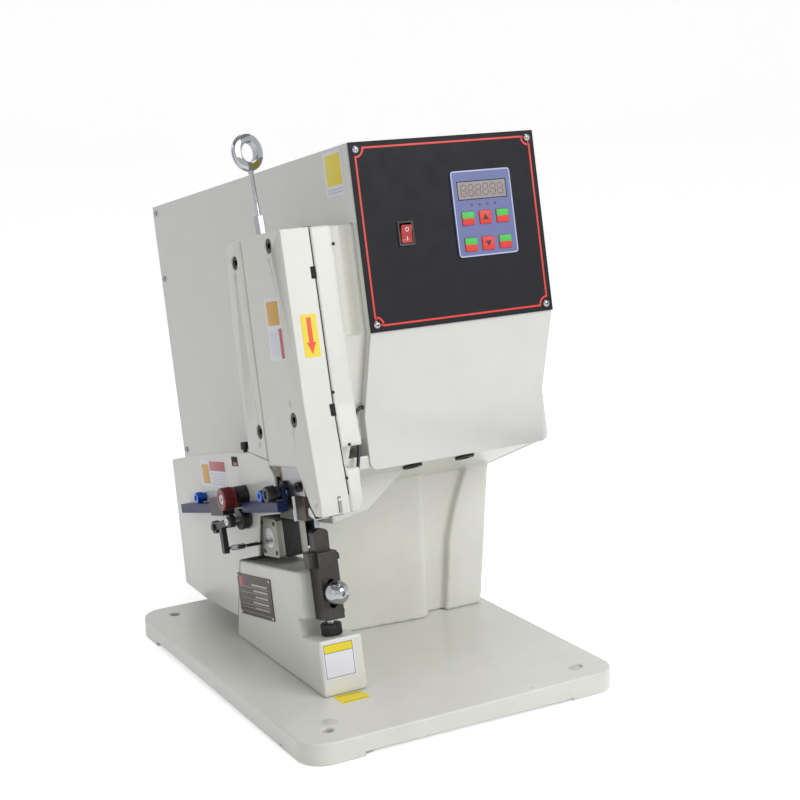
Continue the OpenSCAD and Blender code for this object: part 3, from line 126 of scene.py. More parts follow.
FINISHES: dict[str, Finish] = {
    # Enamel sprayed on a sand casting: warm white, faint orange peel, greyer on rubbed edges.
    "cast_enamel": Finish("#DFDFD8", 0.36, coat=0.25, grain=2.0, bump=0.09, blotch=0.035,
                          wear=0.35, wear_colour="#B5B2A6", edge=1.2),
    # Enamel baked on folded sheet steel: smoother and a little cooler than the casting.
    "sheet_enamel": Finish("#DEDEDA", 0.34, coat=0.3, grain=1.3, bump=0.012, blotch=0.02,
                           wear=0.2, wear_colour="#B8B6AE", edge=0.9),
    # Surface-ground tool steel: soft upright grinding lines and bright arrises.
    "ground_steel": Finish("#A2A4A8", 0.34, 0.9, grain=0.5, bump=0.01, blotch=0.1, blotch_size=14,
                           brush=(1.0, 1.0, 12.0), wear=0.4, wear_colour="#D8D8DA", edge=0.4),
    # Lathe-turned mild steel: fine rings and a brighter sheen.
    "turned_steel": Finish("#B4B6B8", 0.26, 1.0, grain=0.35, bump=0.006, blotch=0.06,
                           blotch_size=9, brush=(10.0, 1.0, 1.0), edge=0.25),
    # Chromium plate over polished steel: clear reflections.
    "polished": Finish("#A6A8AC", 0.1, 1.0, grain=0.6, bump=0.002, blotch=0.03, blotch_size=12),
    # Heat-blued tool steel: brown-black with a cloudy temper and bare bright edges.
    "blued_steel": Finish("#3D3A38", 0.4, 0.6, grain=0.6, bump=0.01, blotch=0.16, blotch_size=10,
                          brush=(1.0, 6.0, 1.0), wear=0.7, wear_colour="#B9B9BC", edge=0.35),
    # Oil-blackened steel gone brown: a warm dark block.
    "brown_steel": Finish("#4A423A", 0.42, 0.65, grain=0.7, bump=0.012, blotch=0.2, blotch_size=12,
                          wear=0.5, wear_colour="#98928A", edge=0.4),
    # Black oxide on alloy screws: satin black with grey rubbed rims.
    "black_oxide": Finish("#141416", 0.38, 0.2, grain=0.5, bump=0.01, blotch=0.15, wear=0.35,
                          wear_colour="#707074", edge=0.3),
    # Moulded phenolic: deep black with a slight texture.
    "black_plastic": Finish("#0F0F11", 0.38, grain=0.35, bump=0.012, blotch=0.08, wear=0.15,
                            wear_colour="#3A3A3C", edge=0.3),
    # Screen-printed polycarbonate film of the panel: flat blue-black.
    "black_film": Finish("#0A0C13", 0.5, specular=0.22, grain=0.25, bump=0.006, blotch=0.1,
                         blotch_size=20, edge=0.3),
    # Red screen-printing ink: an even bright line.
    "red_film": Finish("#E43024", 0.4, grain=0.3, bump=0.004, blotch=0.04),
    # Blue-violet polycarbonate film of the counter: satin.
    "module_film": Finish("#5F6A9E", 0.4, grain=0.3, bump=0.006, blotch=0.05, blotch_size=12,
                          edge=0.3),
    # Pale lilac printing ink: thin rules and rims.
    "pale_film": Finish("#B9C0DC", 0.42, grain=0.3, bump=0.004, blotch=0.04),
    # Smoked red acrylic window: dark and glossy.
    "display": Finish("#43282F", 0.12, coat=0.6, grain=0.5, bump=0.001, blotch=0.12, blotch_size=8),
    # Unlit diffusers of the digits: a dusty red brown.
    "digit": Finish("#5C3A3C", 0.3, grain=0.5, bump=0.002, blotch=0.1),
    # Green and red keycaps of moulded ABS: satin, with softened edges.
    "key_green": Finish("#3FC24A", 0.42, grain=0.3, bump=0.008, blotch=0.05, edge=0.4),
    "key_red": Finish("#E3352A", 0.42, grain=0.3, bump=0.008, blotch=0.05, edge=0.4),
    # Black printing ink: matt.
    "ink": Finish("#101014", 0.5, grain=0.3, bump=0.002),
    # Clear-tinted polycarbonate rocker: deep glossy red.
    "switch_red": Finish("#B3160F", 0.22, coat=0.5, grain=0.6, bump=0.004, blotch=0.06, edge=0.5),
    # White pad-printing ink: the marks of the switch.
    "white_ink": Finish("#EFEFF2", 0.45, grain=0.3, bump=0.002, blotch=0.03),
    # Coated vinyl stickers: smooth, with a thin clear film.
    "label_white": Finish("#E9EAF2", 0.36, coat=0.2, grain=0.8, bump=0.004, blotch=0.03, edge=0.1),
    "label_yellow": Finish("#F2DC10", 0.36, coat=0.2, grain=0.8, bump=0.004, blotch=0.04, edge=0.1),
    "label_gold": Finish("#D9A21C", 0.36, coat=0.2, grain=0.8, bump=0.004, blotch=0.05, edge=0.1),
    "label_red": Finish("#B4232C", 0.36, coat=0.2, grain=0.8, bump=0.004, blotch=0.05, edge=0.1),
    "arrow": Finish("#F0471A", 0.36, coat=0.2, grain=0.8, bump=0.004, blotch=0.04),
    # Etched and filled aluminium plate: dull brown ground, pale bare lines.
    "plate_brown": Finish("#4C4240", 0.38, 0.4, grain=0.4, bump=0.008, blotch=0.12, blotch_size=10,
                          edge=0.2),
    "plate_ink": Finish("#A8A4A2", 0.4, 0.4, grain=0.4, bump=0.004, blotch=0.1, blotch_size=5),
    # Dark blue anodised aluminium bar: satin, paler where it is rubbed.
    "blue_anodised": Finish("#14224F", 0.4, 0.1, specular=0.3, grain=0.4, bump=0.006, blotch=0.12,
                            blotch_size=14, brush=(1.0, 10.0, 1.0), wear=0.3,
                            wear_colour="#4F5A9A", edge=0.5),
    # Bright blue anodised aluminium, turned: metallic and clear.
    "blue_bright": Finish("#1F5FC4", 0.2, 0.75, coat=0.2, grain=0.3, bump=0.006, blotch=0.1,
                          blotch_size=8, wear=0.3, wear_colour="#9DB8E4", edge=0.3),
    # Red anodised aluminium, dulled by hands.
    "red_anodised": Finish("#6E211F", 0.34, 0.6, coat=0.15, grain=0.4, bump=0.008, blotch=0.14,
                           blotch_size=9, wear=0.4, wear_colour="#B06A5C", edge=0.4),
    # Moulded nitrile rubber: matt black.
    "rubber": Finish("#131314", 0.62, grain=0.4, bump=0.02, blotch=0.1),
    # Extruded PVC skin of the lead: smooth and slightly glossy.
    "lead_skin": Finish("#161618", 0.45, coat=0.1, grain=0.5, bump=0.008, blotch=0.1),
    # Cast bronze wear strips: warm and dull.
    "bronze": Finish("#8A6545", 0.36, 0.85, grain=0.5, bump=0.008, blotch=0.15, blotch_size=10,
                     edge=0.3),
    # Painted motor housing: plain grey.
    "motor_grey": Finish("#5D6369", 0.4, 0.2, grain=1.2, bump=0.02, blotch=0.06, wear=0.3,
                         edge=0.6),
    # Die-cast aluminium end caps: grey with a soft grain.
    "motor_cap": Finish("#8E8E86", 0.42, 0.7, grain=0.6, bump=0.01, blotch=0.1, blotch_size=12,
                        edge=0.4),
    # Solder mask on a circuit board: glossy green.
    "board_green": Finish("#1C6637", 0.35, coat=0.4, grain=0.5, bump=0.006, blotch=0.1,
                          blotch_size=6),
    # Body filler over dowels and screws, brushed with enamel: duller than the casting.
    "filler": Finish("#CFCEC6", 0.5, grain=0.9, bump=0.03, blotch=0.06, blotch_size=5),
    # Painted shade: flat black standing in for the shade deep in a gap or recess.
    "shadow_gap": Finish("#0C0C0C", 0.8, grain=0.5, bump=0.01),
    # Studio paper: near white and matt.
    "floor": Finish("#F6F6F6", 0.7, grain=30.0, bump=0.02, blotch=0.01, blotch_size=900, glow=0.6),
}


def linear(hex_colour: str) -> tuple[float, float, float, float]:
    """Turns an sRGB hex colour into linear RGBA.

    Args:
        hex_colour: Colour such as "#A0B0C0".

    Returns:
        Linear red, green, blue and an alpha of one.
    """
    parts = [int(hex_colour[i:i + 2], 16) / 255 for i in (1, 3, 5)]
    r, g, b = (c / 12.92 if c <= 0.04045 else ((c + 0.055) / 1.055) ** 2.4 for c in parts)
    return (r, g, b, 1.0)


def add(tree: bpy.types.NodeTree, kind: str, inputs: dict[str | int, object] | None = None,
        **settings: object) -> bpy.types.Node:
    """Adds a node to a shader or geometry tree, with its settings and links.

    Args:
        tree: Tree that takes the node.
        kind: Name of the node's type.
        inputs: Input's name or number to its value, or to the output that feeds it.
        **settings: Attributes of the node.

    Returns:
        The node.
    """
    node = tree.nodes.new(kind)
    for key, value in settings.items():
        setattr(node, key, value)
    for key, value in (inputs or {}).items():
        if isinstance(value, bpy.types.NodeSocket):
            tree.links.new(value, node.inputs[key])
        else:
            node.inputs[key].default_value = value
    return node


class Paintbox:
    """Makes each finish's node material once."""

    RANGE = ("Value", "From Min", "From Max", "To Min", "To Max")

    def __init__(self, finishes: dict[str, Finish]) -> None:
        """Keeps the table of finishes."""
        self._finishes = finishes
        self._made: dict[str, bpy.types.Material] = {}

    def get(self, name: str) -> bpy.types.Material:
        """Returns the material of a finish.

        Args:
            name: Key in the table of finishes.

        Returns:
            A material whose nodes are built on first use.
        """
        if name not in self._made:
            self._made[name] = self._build(name, self._finishes[name])
        return self._made[name]

    def _build(self, name: str, f: Finish) -> bpy.types.Material:
        """Builds one finish's nodes.

        Args:
            name: Name of the material.
            f: The finish.

        Returns:
            The material.
        """
        material = bpy.data.materials.new(name)
        material.use_nodes = True
        tree = material.node_tree
        tree.nodes.clear()
        base = linear(f.colour)
        dark, light = (tuple(min(1.0, c * share) for c in base[:3]) + (1.0,)
                       for share in (1 - f.blotch, 1 + f.blotch))
        place = add(tree, "ShaderNodeTexCoord").outputs["Object"]
        drawn = add(tree, "ShaderNodeMapping",
                    {"Vector": place, "Scale": [1.0 / s for s in f.brush]}).outputs["Vector"]
        patches, fine = (add(tree, "ShaderNodeTexNoise",
                             {"Vector": drawn, "Scale": 1.0 / (size * MM), "Detail": detail})
                         .outputs["Fac"] for size, detail in ((f.blotch_size, 3.0), (f.grain, 2.0)))
        drift = add(tree, "ShaderNodeMapRange",
                    dict(zip(self.RANGE, (patches, 0.3, 0.7, 0.0, 1.0))))
        colour = add(tree, "ShaderNodeMix", {"Factor": drift.outputs["Result"], 6: dark, 7: light},
                     data_type="RGBA").outputs[2]
        relief = {"Height": fine, "Strength": 1.0, "Distance": f.bump * MM}
        if f.edge > 0:
            bevel = add(tree, "ShaderNodeBevel", {"Radius": f.edge * MM}, samples=4)
            relief["Normal"] = rounded = bevel.outputs["Normal"]
            if f.wear > 0:
                colour = self._worn(tree, f, rounded, patches, colour)
        bump = add(tree, "ShaderNodeBump", relief)
        rough = add(tree, "ShaderNodeMapRange", dict(zip(
            self.RANGE, (patches, 0.25, 0.75, max(0.03, f.rough - 0.05), f.rough + 0.05))))
        inputs = {"Base Color": colour, "Normal": bump.outputs["Normal"],
                  "Roughness": rough.outputs["Result"], "Metallic": f.metal,
                  "Specular IOR Level": f.specular, "Coat Weight": f.coat, "Coat Roughness": 0.18}
        if f.glow > 0:
            inputs.update({"Emission Color": base, "Emission Strength": self._seen(tree, f.glow)})
        shader = add(tree, "ShaderNodeBsdfPrincipled", inputs)
        add(tree, "ShaderNodeOutputMaterial", {"Surface": shader.outputs["BSDF"]})
        return material

    def _worn(self, tree: bpy.types.NodeTree, f: Finish, rounded: bpy.types.NodeSocket,
              patches: bpy.types.NodeSocket, colour: bpy.types.NodeSocket) -> bpy.types.NodeSocket:
        """Shows the wear colour in patches along the edges.

        Args:
            tree: The material's tree.
            f: The finish.
            rounded: Normal with rounded edges.
            patches: Noise that breaks up the wear.
            colour: Colour of the surface.

        Returns:
            Colour with the wear.
        """
        flat = add(tree, "ShaderNodeNewGeometry").outputs["Normal"]
        turn = add(tree, "ShaderNodeVectorMath", {0: rounded, 1: flat}, operation="DOT_PRODUCT")
        rows = ((turn.outputs["Value"], 0.97, 0.75, 0.0, 1.0), (patches, 0.45, 0.62, 0.0, f.wear))
        edges, rubbed = (add(tree, "ShaderNodeMapRange", dict(zip(self.RANGE, row)))
                         for row in rows)
        both = add(tree, "ShaderNodeMath",
                   {0: edges.outputs["Result"], 1: rubbed.outputs["Result"]},
                   operation="MULTIPLY").outputs[0]
        return add(tree, "ShaderNodeMix", {"Factor": both, 6: colour, 7: linear(f.wear_colour)},
                   data_type="RGBA").outputs[2]

    def _seen(self, tree: bpy.types.NodeTree, glow: float) -> bpy.types.NodeSocket:
        """Gives the glow to camera, glossy and transmission rays alone.

        Args:
            tree: The material's tree.
            glow: Brightness of the glow.

        Returns:
            The emission's strength.
        """
        rays = add(tree, "ShaderNodeLightPath").outputs
        seen = rays["Is Camera Ray"]
        for ray in ("Is Glossy Ray", "Is Transmission Ray"):
            seen = add(tree, "ShaderNodeMath", {0: seen, 1: rays[ray]}, operation="ADD",
                       use_clamp=True).outputs[0]
        row = (seen, 0.0, 1.0, 0.0, glow)
        return add(tree, "ShaderNodeMapRange", dict(zip(self.RANGE, row))).outputs["Result"]


PAINT = Paintbox(FINISHES)


def round_corners(points: Outline, radius: float, steps: int = 5) -> list[Point]:
    """Rounds every corner of a closed outline.

    Args:
        points: Corners in order, anticlockwise.
        radius: Largest radius; a short side limits it.
        steps: Pieces per rounded corner.

    Returns:
        The rounded outline.
    """
    out: list[Point] = []
    count = len(points)
    for i in range(count):
        p, q, r = (Vector(points[(i + k) % count][:2]) for k in (-1, 0, 1))
        a, b = (p - q), (r - q)
        turn = a.angle(b)
        reach = radius / math.tan(turn / 2) if turn < math.pi - 0.02 else 0.0
        reach = min(reach, a.length * 0.45, b.length * 0.45)
        if reach < 1e-4:
            out.append(tuple(q))
            continue
        start, end = q + a.normalized() * reach, q + b.normalized() * reach
        for k in range(steps + 1):
            t = k / steps
            out.append(tuple((1 - t) ** 2 * start + 2 * t * (1 - t) * q + t * t * end))
    return out


def offset(points: Outline, inset: float) -> list[Point]:
    """Moves a closed anticlockwise outline inwards.

    Args:
        points: The outline.
        inset: Distance of the move.

    Returns:
        The moved outline, point for point.
    """
    out: list[Point] = []
    count = len(points)
    for i in range(count):
        p, q, r = (Vector(points[(i + k) % count][:2]) for k in (-1, 0, 1))
        n1 = Vector((-(q - p).y, (q - p).x)).normalized()
        n2 = Vector((-(r - q).y, (r - q).x)).normalized()
        middle = (n1 + n2)
        if middle.length < 1e-6:
            middle = n1
        middle.normalize()
        out.append(tuple(q + middle * inset / max(0.35, middle.dot(n1))))
    return out


def anticlockwise(points: Outline) -> list[Point]:
    """Orders an outline anticlockwise.

    Args:
        points: The outline in either order.

    Returns:
        The same points, anticlockwise.
    """
    area = sum(points[i - 1][0] * points[i][1] - points[i][0] * points[i - 1][1]
               for i in range(len(points)))
    return list(points) if area > 0 else list(reversed(points))


def rect(x0: float, y0: float, x1: float, y1: float) -> list[Point]:
    """Corners of a rectangle, anticlockwise."""
    return [(x0, y0), (x1, y0), (x1, y1), (x0, y1)]


def front_outline(points: Outline) -> list[Point]:
    """Turns (x, w) points into the outline order that Axis.Y draws, which is (x, -w)."""
    return [(x, -w) for x, w in points]


@dataclass(frozen=True)
class Field:
    """A flat printed field, or the thin plate under it, on a left or front face.

    Attributes:
        finish: Key in the table of finishes.
        box: Two opposite corners on the face.
        proud: Height over the face.
        sunk: Depth under the face.
        edge: Radius of its rim.
        corner: Radius of its corners.
    """

    finish: str
    box: Box
    proud: float
    sunk: float
    edge: float = 0.0
    corner: float = 0.0


@dataclass
class Piece:
    """A mesh that is gathered from shapes in millimetres and placed once.

    Attributes:
        name: Name of the object.
        place: Matrix from the shapes' millimetres to the row's metres.
    """

    name: str
    place: Matrix = field(default_factory=lambda: BODY.copy())
    _bm: bmesh.types.BMesh = field(default_factory=bmesh.new)
    _finishes: list[str] = field(default_factory=list)
    _index: int = 0
    _local: Matrix = field(default_factory=lambda: Matrix.Identity(4))

    def use(self, finish: str) -> "Piece":
        """Sets the finish of the shapes that follow.

        Args:
            finish: Key in the table of finishes.

        Returns:
            This piece.
        """
        if finish not in self._finishes:
            self._finishes.append(finish)
        self._index = self._finishes.index(finish)
        return self

    def at(self, local: Matrix) -> "Piece":
        """Sets a move in millimetres for the shapes that follow.

        Args:
            local: The move.

        Returns:
            This piece.
        """
        self._local = local
        return self

    def skin(self, rings: Iterable[Sequence[Vector]], closed: bool = False,
             caps: bool = True) -> "Piece":
        """Joins rings of equal length by quads and caps the ends.

        Args:
            rings: The rings in order.
            closed: True to join the last ring to the first.
            caps: True to close the ends.

        Returns:
            This piece.
        """
        made = [[self._bm.verts.new(self._local @ p) for p in ring] for ring in rings]
        faces = []
        for low, high in list(zip(made, made[1:])) + ([(made[-1], made[0])] if closed else []):
            for i in range(len(low)):
                j = (i + 1) % len(low)
                faces.append((low[i], low[j], high[j], high[i]))
        if caps and not closed:
            faces += [list(reversed(made[0])), made[-1]]
        for verts in faces:
            self._bm.faces.new(verts).material_index = self._index
        return self

    def prism(self, axis: Axis, low: float, high: float, outline: Outline, edge: float = 0.0,
              corner: float = 0.0, steps: int = 3) -> "Piece":
        """Draws an outline out along an axis, with rounded rims.

        Args:
            axis: Axis of the draw; the outline lies in the other two, in cyclic order.
            low: Start along the axis.
            high: End along the axis.
            outline: Closed outline.
            edge: Radius of the rims.
            corner: Radius of the outline's corners.
            steps: Rings per rim.

        Returns:
            This piece.
        """
        points = anticlockwise(outline)
        if corner > 0:
            points = round_corners(points, corner)
        rim = [(0.0, 0.0)]
        if edge > 0:
            rim = [(edge * (1 - math.cos(a)), edge * (1 - math.sin(a)))
                   for a in (math.pi / 2 * k / steps for k in range(steps + 1))]
        rings = [(low + rise, inset) for rise, inset in rim]
        rings += [(high - rise, inset) for rise, inset in reversed(rim)]
        turn = axis.value
        return self.skin([[turn @ Vector((x, y, z)) for x, y in
                           (offset(points, inset) if inset else points)] for z, inset in rings])

    def fields(self, axis: Axis, face: float, fields: Iterable[Field]) -> "Piece":
        """Adds printed fields to a left face, Axis.X, or a front face, Axis.Y.

        Args:
            axis: Axis across the face.
            face: Place of the face along it.
            fields: The fields, lowest first.

        Returns:
            This piece.
        """
        for f in fields:
            outline = front_outline(rect(*f.box)) if axis is Axis.Y else rect(*f.box)
            self.use(f.finish).prism(axis, face - f.proud, face + f.sunk, outline, f.edge, f.corner)
        return self

    def block(self, low: Point, high: Point, edge: float = 0.0, corner: float = 0.0,
              axis: Axis = Axis.Y) -> "Piece":
        """Adds a box with rounded edges.

        Args:
            low: Lowest corner.
            high: Highest corner.
            edge: Radius of the rims across the axis.
            corner: Radius of the edges along the axis.
            axis: Axis along which the box is drawn.

        Returns:
            This piece.
        """
        back = axis.value.inverted()
        a, b = back @ Vector(low), back @ Vector(high)
        lo, hi = Vector(map(min, a, b)), Vector(map(max, a, b))
        return self.prism(axis, lo.z, hi.z, rect(lo.x, lo.y, hi.x, hi.y), edge, corner)

    def lathe(self, axis: Axis, centre: Point, profile: Outline, steps: int = 48,
              closed: bool = False) -> "Piece":
        """Turns a profile round an axis.

        Args:
            axis: Axis of the turn.
            centre: Point on the axis that the profile counts from.
            profile: Pairs of distance along the axis and radius.
            steps: Sides of the round.
            closed: True for a ring whose profile closes on itself.

        Returns:
            This piece.
        """
        turn, middle = axis.value, Vector(centre)
        rings = []
        for along, radius in profile:
            r = max(radius, 0.01)
            rings.append([middle + turn @ Vector((r * math.cos(t), r * math.sin(t), along))
                          for t in (2 * math.pi * k / steps for k in range(steps))])
        return self.skin(rings, closed)

    def tube(self, route: Sequence[Point], radius: float, sides: int = 12) -> "Piece":
        """Sweeps a round wire along a route.

        Args:
            route: Points of the route.
            radius: Radius of the wire.
            sides: Sides of the wire.

        Returns:
            This piece.
        """
        points = [Vector(p) for p in route]
        rings = []
        side = None
        for i, p in enumerate(points):
            way = (points[min(i + 1, len(points) - 1)] - points[max(i - 1, 0)]).normalized()
            if side is None:
                side = way.orthogonal().normalized()
            side = (side - way * side.dot(way)).normalized()
            up = way.cross(side)
            rings.append([p + radius * (math.cos(t) * side + math.sin(t) * up)
                          for t in (2 * math.pi * k / sides for k in range(sides))])
        return self.skin(rings)

    def mesh(self) -> bpy.types.Mesh:
        """Gives the gathered shapes as a mesh and frees them.

        Returns:
            The mesh in millimetres, its faces turned outwards.
        """
        bmesh.ops.recalc_face_normals(self._bm, faces=self._bm.faces)
        mesh = bpy.data.meshes.new(self.name)
        self._bm.to_mesh(mesh)
        self._bm.free()
        return mesh

    def finish(self, body: str | None, stands_for: Sequence[str] = (),
               slot: str | None = None) -> bpy.types.Object:
        """Makes the object and hands it to the frame.

        Args:
            body: CAD body that it rides on, or None to leave it unattached.
            stands_for: CAD nodes that the piece replaces.
            slot: Not used.

        Returns:
            The object.
        """
        mesh = self.mesh()
        mesh.transform(self.place)
        for finish in self._finishes:
            mesh.materials.append(PAINT.get(finish))
        return adopt(mesh, self.name, body, stands_for)


def shade(mesh: bpy.types.Mesh, smooth: float) -> None:
    """Shades a mesh smooth below an angle in degrees and sharp above it."""
    mesh.polygons.foreach_set("use_smooth", [True] * len(mesh.polygons))
    mesh.set_sharp_from_angle(angle=math.radians(smooth))


def adopt(mesh: bpy.types.Mesh, name: str, body: str | None, stands_for: Sequence[str] = (),
          smooth: float = 32.0) -> bpy.types.Object:
    """Links a finished mesh as a piece of the object and reports it.

    Args:
        mesh: Mesh in the row's metres.
        name: Name of the object.
        body: CAD body that it rides on, or None to leave it unattached.
        stands_for: CAD nodes that it replaces.
        smooth: Angle in degrees below which edges are shaded smooth.

    Returns:
        The object.
    """
    shade(mesh, smooth)
    obj = bpy.data.objects.new(name, mesh)
    bpy.context.scene.collection.objects.link(obj)
    if body is not None:
        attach(obj, body)
    if stands_for:
        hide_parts(*stands_for)
    LOG.info("%s: %d faces", name, len(mesh.polygons))
    return obj


def modified(mesh: bpy.types.Mesh, steps: Iterable[tuple[str, dict[str, object]]],
             inputs: dict[str, object] | None = None) -> bpy.types.Mesh:
    """Runs modifiers on a mesh and keeps the result as plain mesh.

    Args:
        mesh: Mesh to start from.
        steps: Each modifier's type and settings.
        inputs: Identifier to value of a node modifier's inputs.

    Returns:
        The new mesh.
    """
    obj = bpy.data.objects.new("work", mesh)
    bpy.context.scene.collection.objects.link(obj)
    for kind, settings in steps:
        modifier = obj.modifiers.new(kind.lower(), kind)
        for key, value in settings.items():
            setattr(modifier, key, value)
        for key, value in (inputs or {}).items():
            modifier[key] = value
    depsgraph = bpy.context.evaluated_depsgraph_get()
    made = bpy.data.meshes.new_from_object(obj.evaluated_get(depsgraph))
    bpy.data.objects.remove(obj)
    return made


@dataclass(frozen=True)
class Skin:
    """A CAD node that is replaced by its own shape with rounded edges.

    Attributes:
        node: Name of the CAD node.
        name: Name of the new piece.
        finish: Key in the table of finishes.
        body: CAD body that it rides on.
        width: Width of the rounding.
        shortest: Edges shorter than this keep their corner.
        slot: Not used.
    """

    ANGLE = 28.0
    SMOOTH = 40.0

    node: str
    name: str
    finish: str
    body: str
    width: float
    shortest: float
    slot: str

    def build(self) -> None:
        """Makes the rounded copy, whose large faces govern its shading."""
        bm = bmesh.new()
        bm.from_mesh(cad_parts[self.node].data)
        bmesh.ops.remove_doubles(bm, verts=bm.verts, dist=2e-6)
        bmesh.ops.dissolve_limit(bm, angle_limit=math.radians(0.4), verts=bm.verts, edges=bm.edges)
        chosen = [e for e in bm.edges
                  if len(e.link_faces) == 2 and e.calc_length() > self.shortest * MM
                  and e.calc_face_angle(0.0) > math.radians(self.ANGLE)]
        bmesh.ops.bevel(bm, geom=chosen, offset=self.width * MM, offset_type="OFFSET", segments=3,
                        profile=0.5, affect="EDGES", clamp_overlap=False, loop_slide=True)
        mesh = bpy.data.meshes.new(self.name)
        bm.to_mesh(mesh)
        bm.free()
        mesh.materials.append(PAINT.get(self.finish))
        shade(mesh, self.SMOOTH)
        made = modified(mesh, [("WEIGHTED_NORMAL", {"keep_sharp": True, "weight": 80})])
        adopt(made, self.name, self.body, [self.node], self.SMOOTH)


@dataclass
class Repeat:
    """Geometry Nodes that repeat one shape and end as plain mesh.

    Attributes:
        tool: Shape to repeat, drawn round the origin.
        finish: Key in the table of finishes.
        place: Matrix from the places' millimetres to the row's metres.
    """

    tool: Piece
    finish: str
    place: Matrix = field(default_factory=lambda: BODY.copy())

    def ring(self, count: int, radius: float) -> bpy.types.Mesh:
        """Repeats the shape round a circle in the local XY plane, its x axis outwards.

        Args:
            count: Number of repeats.
            radius: Radius of the circle.

        Returns:
            The mesh, placed.
        """
        tree, enter, keys = self._tree({"Count": "NodeSocketInt", "Radius": "NodeSocketFloat"})
        circle = add(tree, "GeometryNodeMeshCircle",
                     {"Vertices": enter.outputs["Count"], "Radius": enter.outputs["Radius"]})
        where = add(tree, "GeometryNodeInputPosition").outputs["Position"]
        align = add(tree, "FunctionNodeAlignRotationToVector", {"Vector": where}, axis="X")
        feeds = {"Points": circle.outputs["Mesh"], "Rotation": align.outputs["Rotation"]}
        return self._grown(tree, feeds, ((0.0, 0.0, 0.0),),
                           {keys["Count"]: count, keys["Radius"]: float(radius)})

    def spots(self, points: Sequence[Point]) -> bpy.types.Mesh:
        """Repeats the shape at listed points.

        Args:
            points: Places of the repeats.

        Returns:
            The mesh, placed.
        """
        tree, enter, keys = self._tree({"Scale": "NodeSocketFloat"})
        return self._grown(tree, {"Points": enter.outputs["Geometry"],
                                  "Scale": enter.outputs["Scale"]}, points, {keys["Scale"]: 1.0})

    def _tree(self, sizes: dict[str, str]
              ) -> tuple[bpy.types.NodeTree, bpy.types.Node, dict[str, str]]:
        """Starts a tree with a named input for each size.

        Args:
            sizes: Name to kind of each size's socket.

        Returns:
            The tree, its input node and the identifier of each input by name.
        """
        tree = bpy.data.node_groups.new("repeat_" + self.tool.name, "GeometryNodeTree")
        kinds = {"Geometry": "NodeSocketGeometry", **sizes}
        keys = {name: tree.interface.new_socket(name, in_out="INPUT", socket_type=kind).identifier
                for name, kind in kinds.items()}
        tree.interface.new_socket("Geometry", in_out="OUTPUT", socket_type="NodeSocketGeometry")
        return tree, add(tree, "NodeGroupInput"), keys

    def _grown(self, tree: bpy.types.NodeTree, feeds: dict[str, bpy.types.NodeSocket],
               points: Sequence[Point], inputs: dict[str, object]) -> bpy.types.Mesh:
        """Ends a tree with instances, real geometry and the finish, and runs it.

        Args:
            tree: Tree whose start is made.
            feeds: Outputs that feed the instances, by input.
            points: Points of the mesh that carries the modifier.
            inputs: Values of the modifier's inputs by identifier.

        Returns:
            The mesh, placed.
        """
        source = bpy.data.objects.new(self.tool.name, self.tool.mesh())
        bpy.context.scene.collection.objects.link(source)
        shape = add(tree, "GeometryNodeObjectInfo", {"Object": source}).outputs["Geometry"]
        instances = add(tree, "GeometryNodeInstanceOnPoints", {"Instance": shape, **feeds})
        real = add(tree, "GeometryNodeRealizeInstances",
                   {"Geometry": instances.outputs["Instances"]})
        paint = add(tree, "GeometryNodeSetMaterial", {"Geometry": real.outputs["Geometry"],
                                                      "Material": PAINT.get(self.finish)})
        add(tree, "NodeGroupOutput", {0: paint.outputs["Geometry"]})
        carrier = bpy.data.meshes.new("carrier")
        carrier.from_pydata([tuple(p) for p in points], [], [])
        mesh = modified(carrier, [("NODES", {"node_group": tree})], inputs)
        mesh.transform(self.place)
        bpy.data.objects.remove(source)
        bpy.data.node_groups.remove(tree)
        return mesh


def around(axis: Axis, centre: Point, within: Matrix) -> Matrix:
    """Gives the place of a ring whose axis lies along a local axis.

    Args:
        axis: The ring's axis.
        centre: The ring's middle.
        within: BODY or FEED.

    Returns:
        Matrix from the ring's millimetres to the row's metres.
    """
    return within @ Matrix.Translation(Vector(centre)) @ axis.value


@dataclass
class Base:
    """The base plate with its painted-over screws and the plain sticker."""

    casting: Skin = Skin("base_plate", "base_casting", "cast_enamel", "machine", 2.0, 0.5,
                         "cast_paint")
    top: float = 23.0
    plugs: tuple[Point, ...] = ((-134.6, -184.4, 8.0), (140.4, -203.6, 7.0))
    pip: tuple[float, float] = (74.7, -224.0)
    pip_profile: Outline = ((-1.0, 2.0), (0.15, 2.0), (0.2, 1.4))
    sticker: Outline = ((-104.0, -152.0), (-72.0, -152.0), (-73.0, -132.0), (-104.0, -130.0))
    sticker_thick: float = 0.3
    ink_thick: float = 0.04
    lines: tuple[Box, ...] = ((-101.0, -149.6, -75.5, -148.9), (-101.0, -134.2, -75.5, -133.5))

    def build(self) -> None:
        """Makes the plate and what is on it."""
        self.casting.build()
        trim = Piece("base_trim", WORLD.copy()).use("filler")
        for x, y, r in self.plugs:
            trim.lathe(Axis.Z, (x, y, self.top), [(-1.0, r), (0.0, r), (0.25, r - 0.5)], 40)
        trim.lathe(Axis.Z, (*self.pip, self.top), self.pip_profile, 24)
        film = self.top + self.sticker_thick
        trim.use("label_yellow").prism(Axis.Z, self.top, film, self.sticker, 0.08, 1.0)
        trim.use("ink")
        for box in self.lines:
            trim.prism(Axis.Z, film, film + self.ink_thick, rect(*box))
        trim.finish("machine")


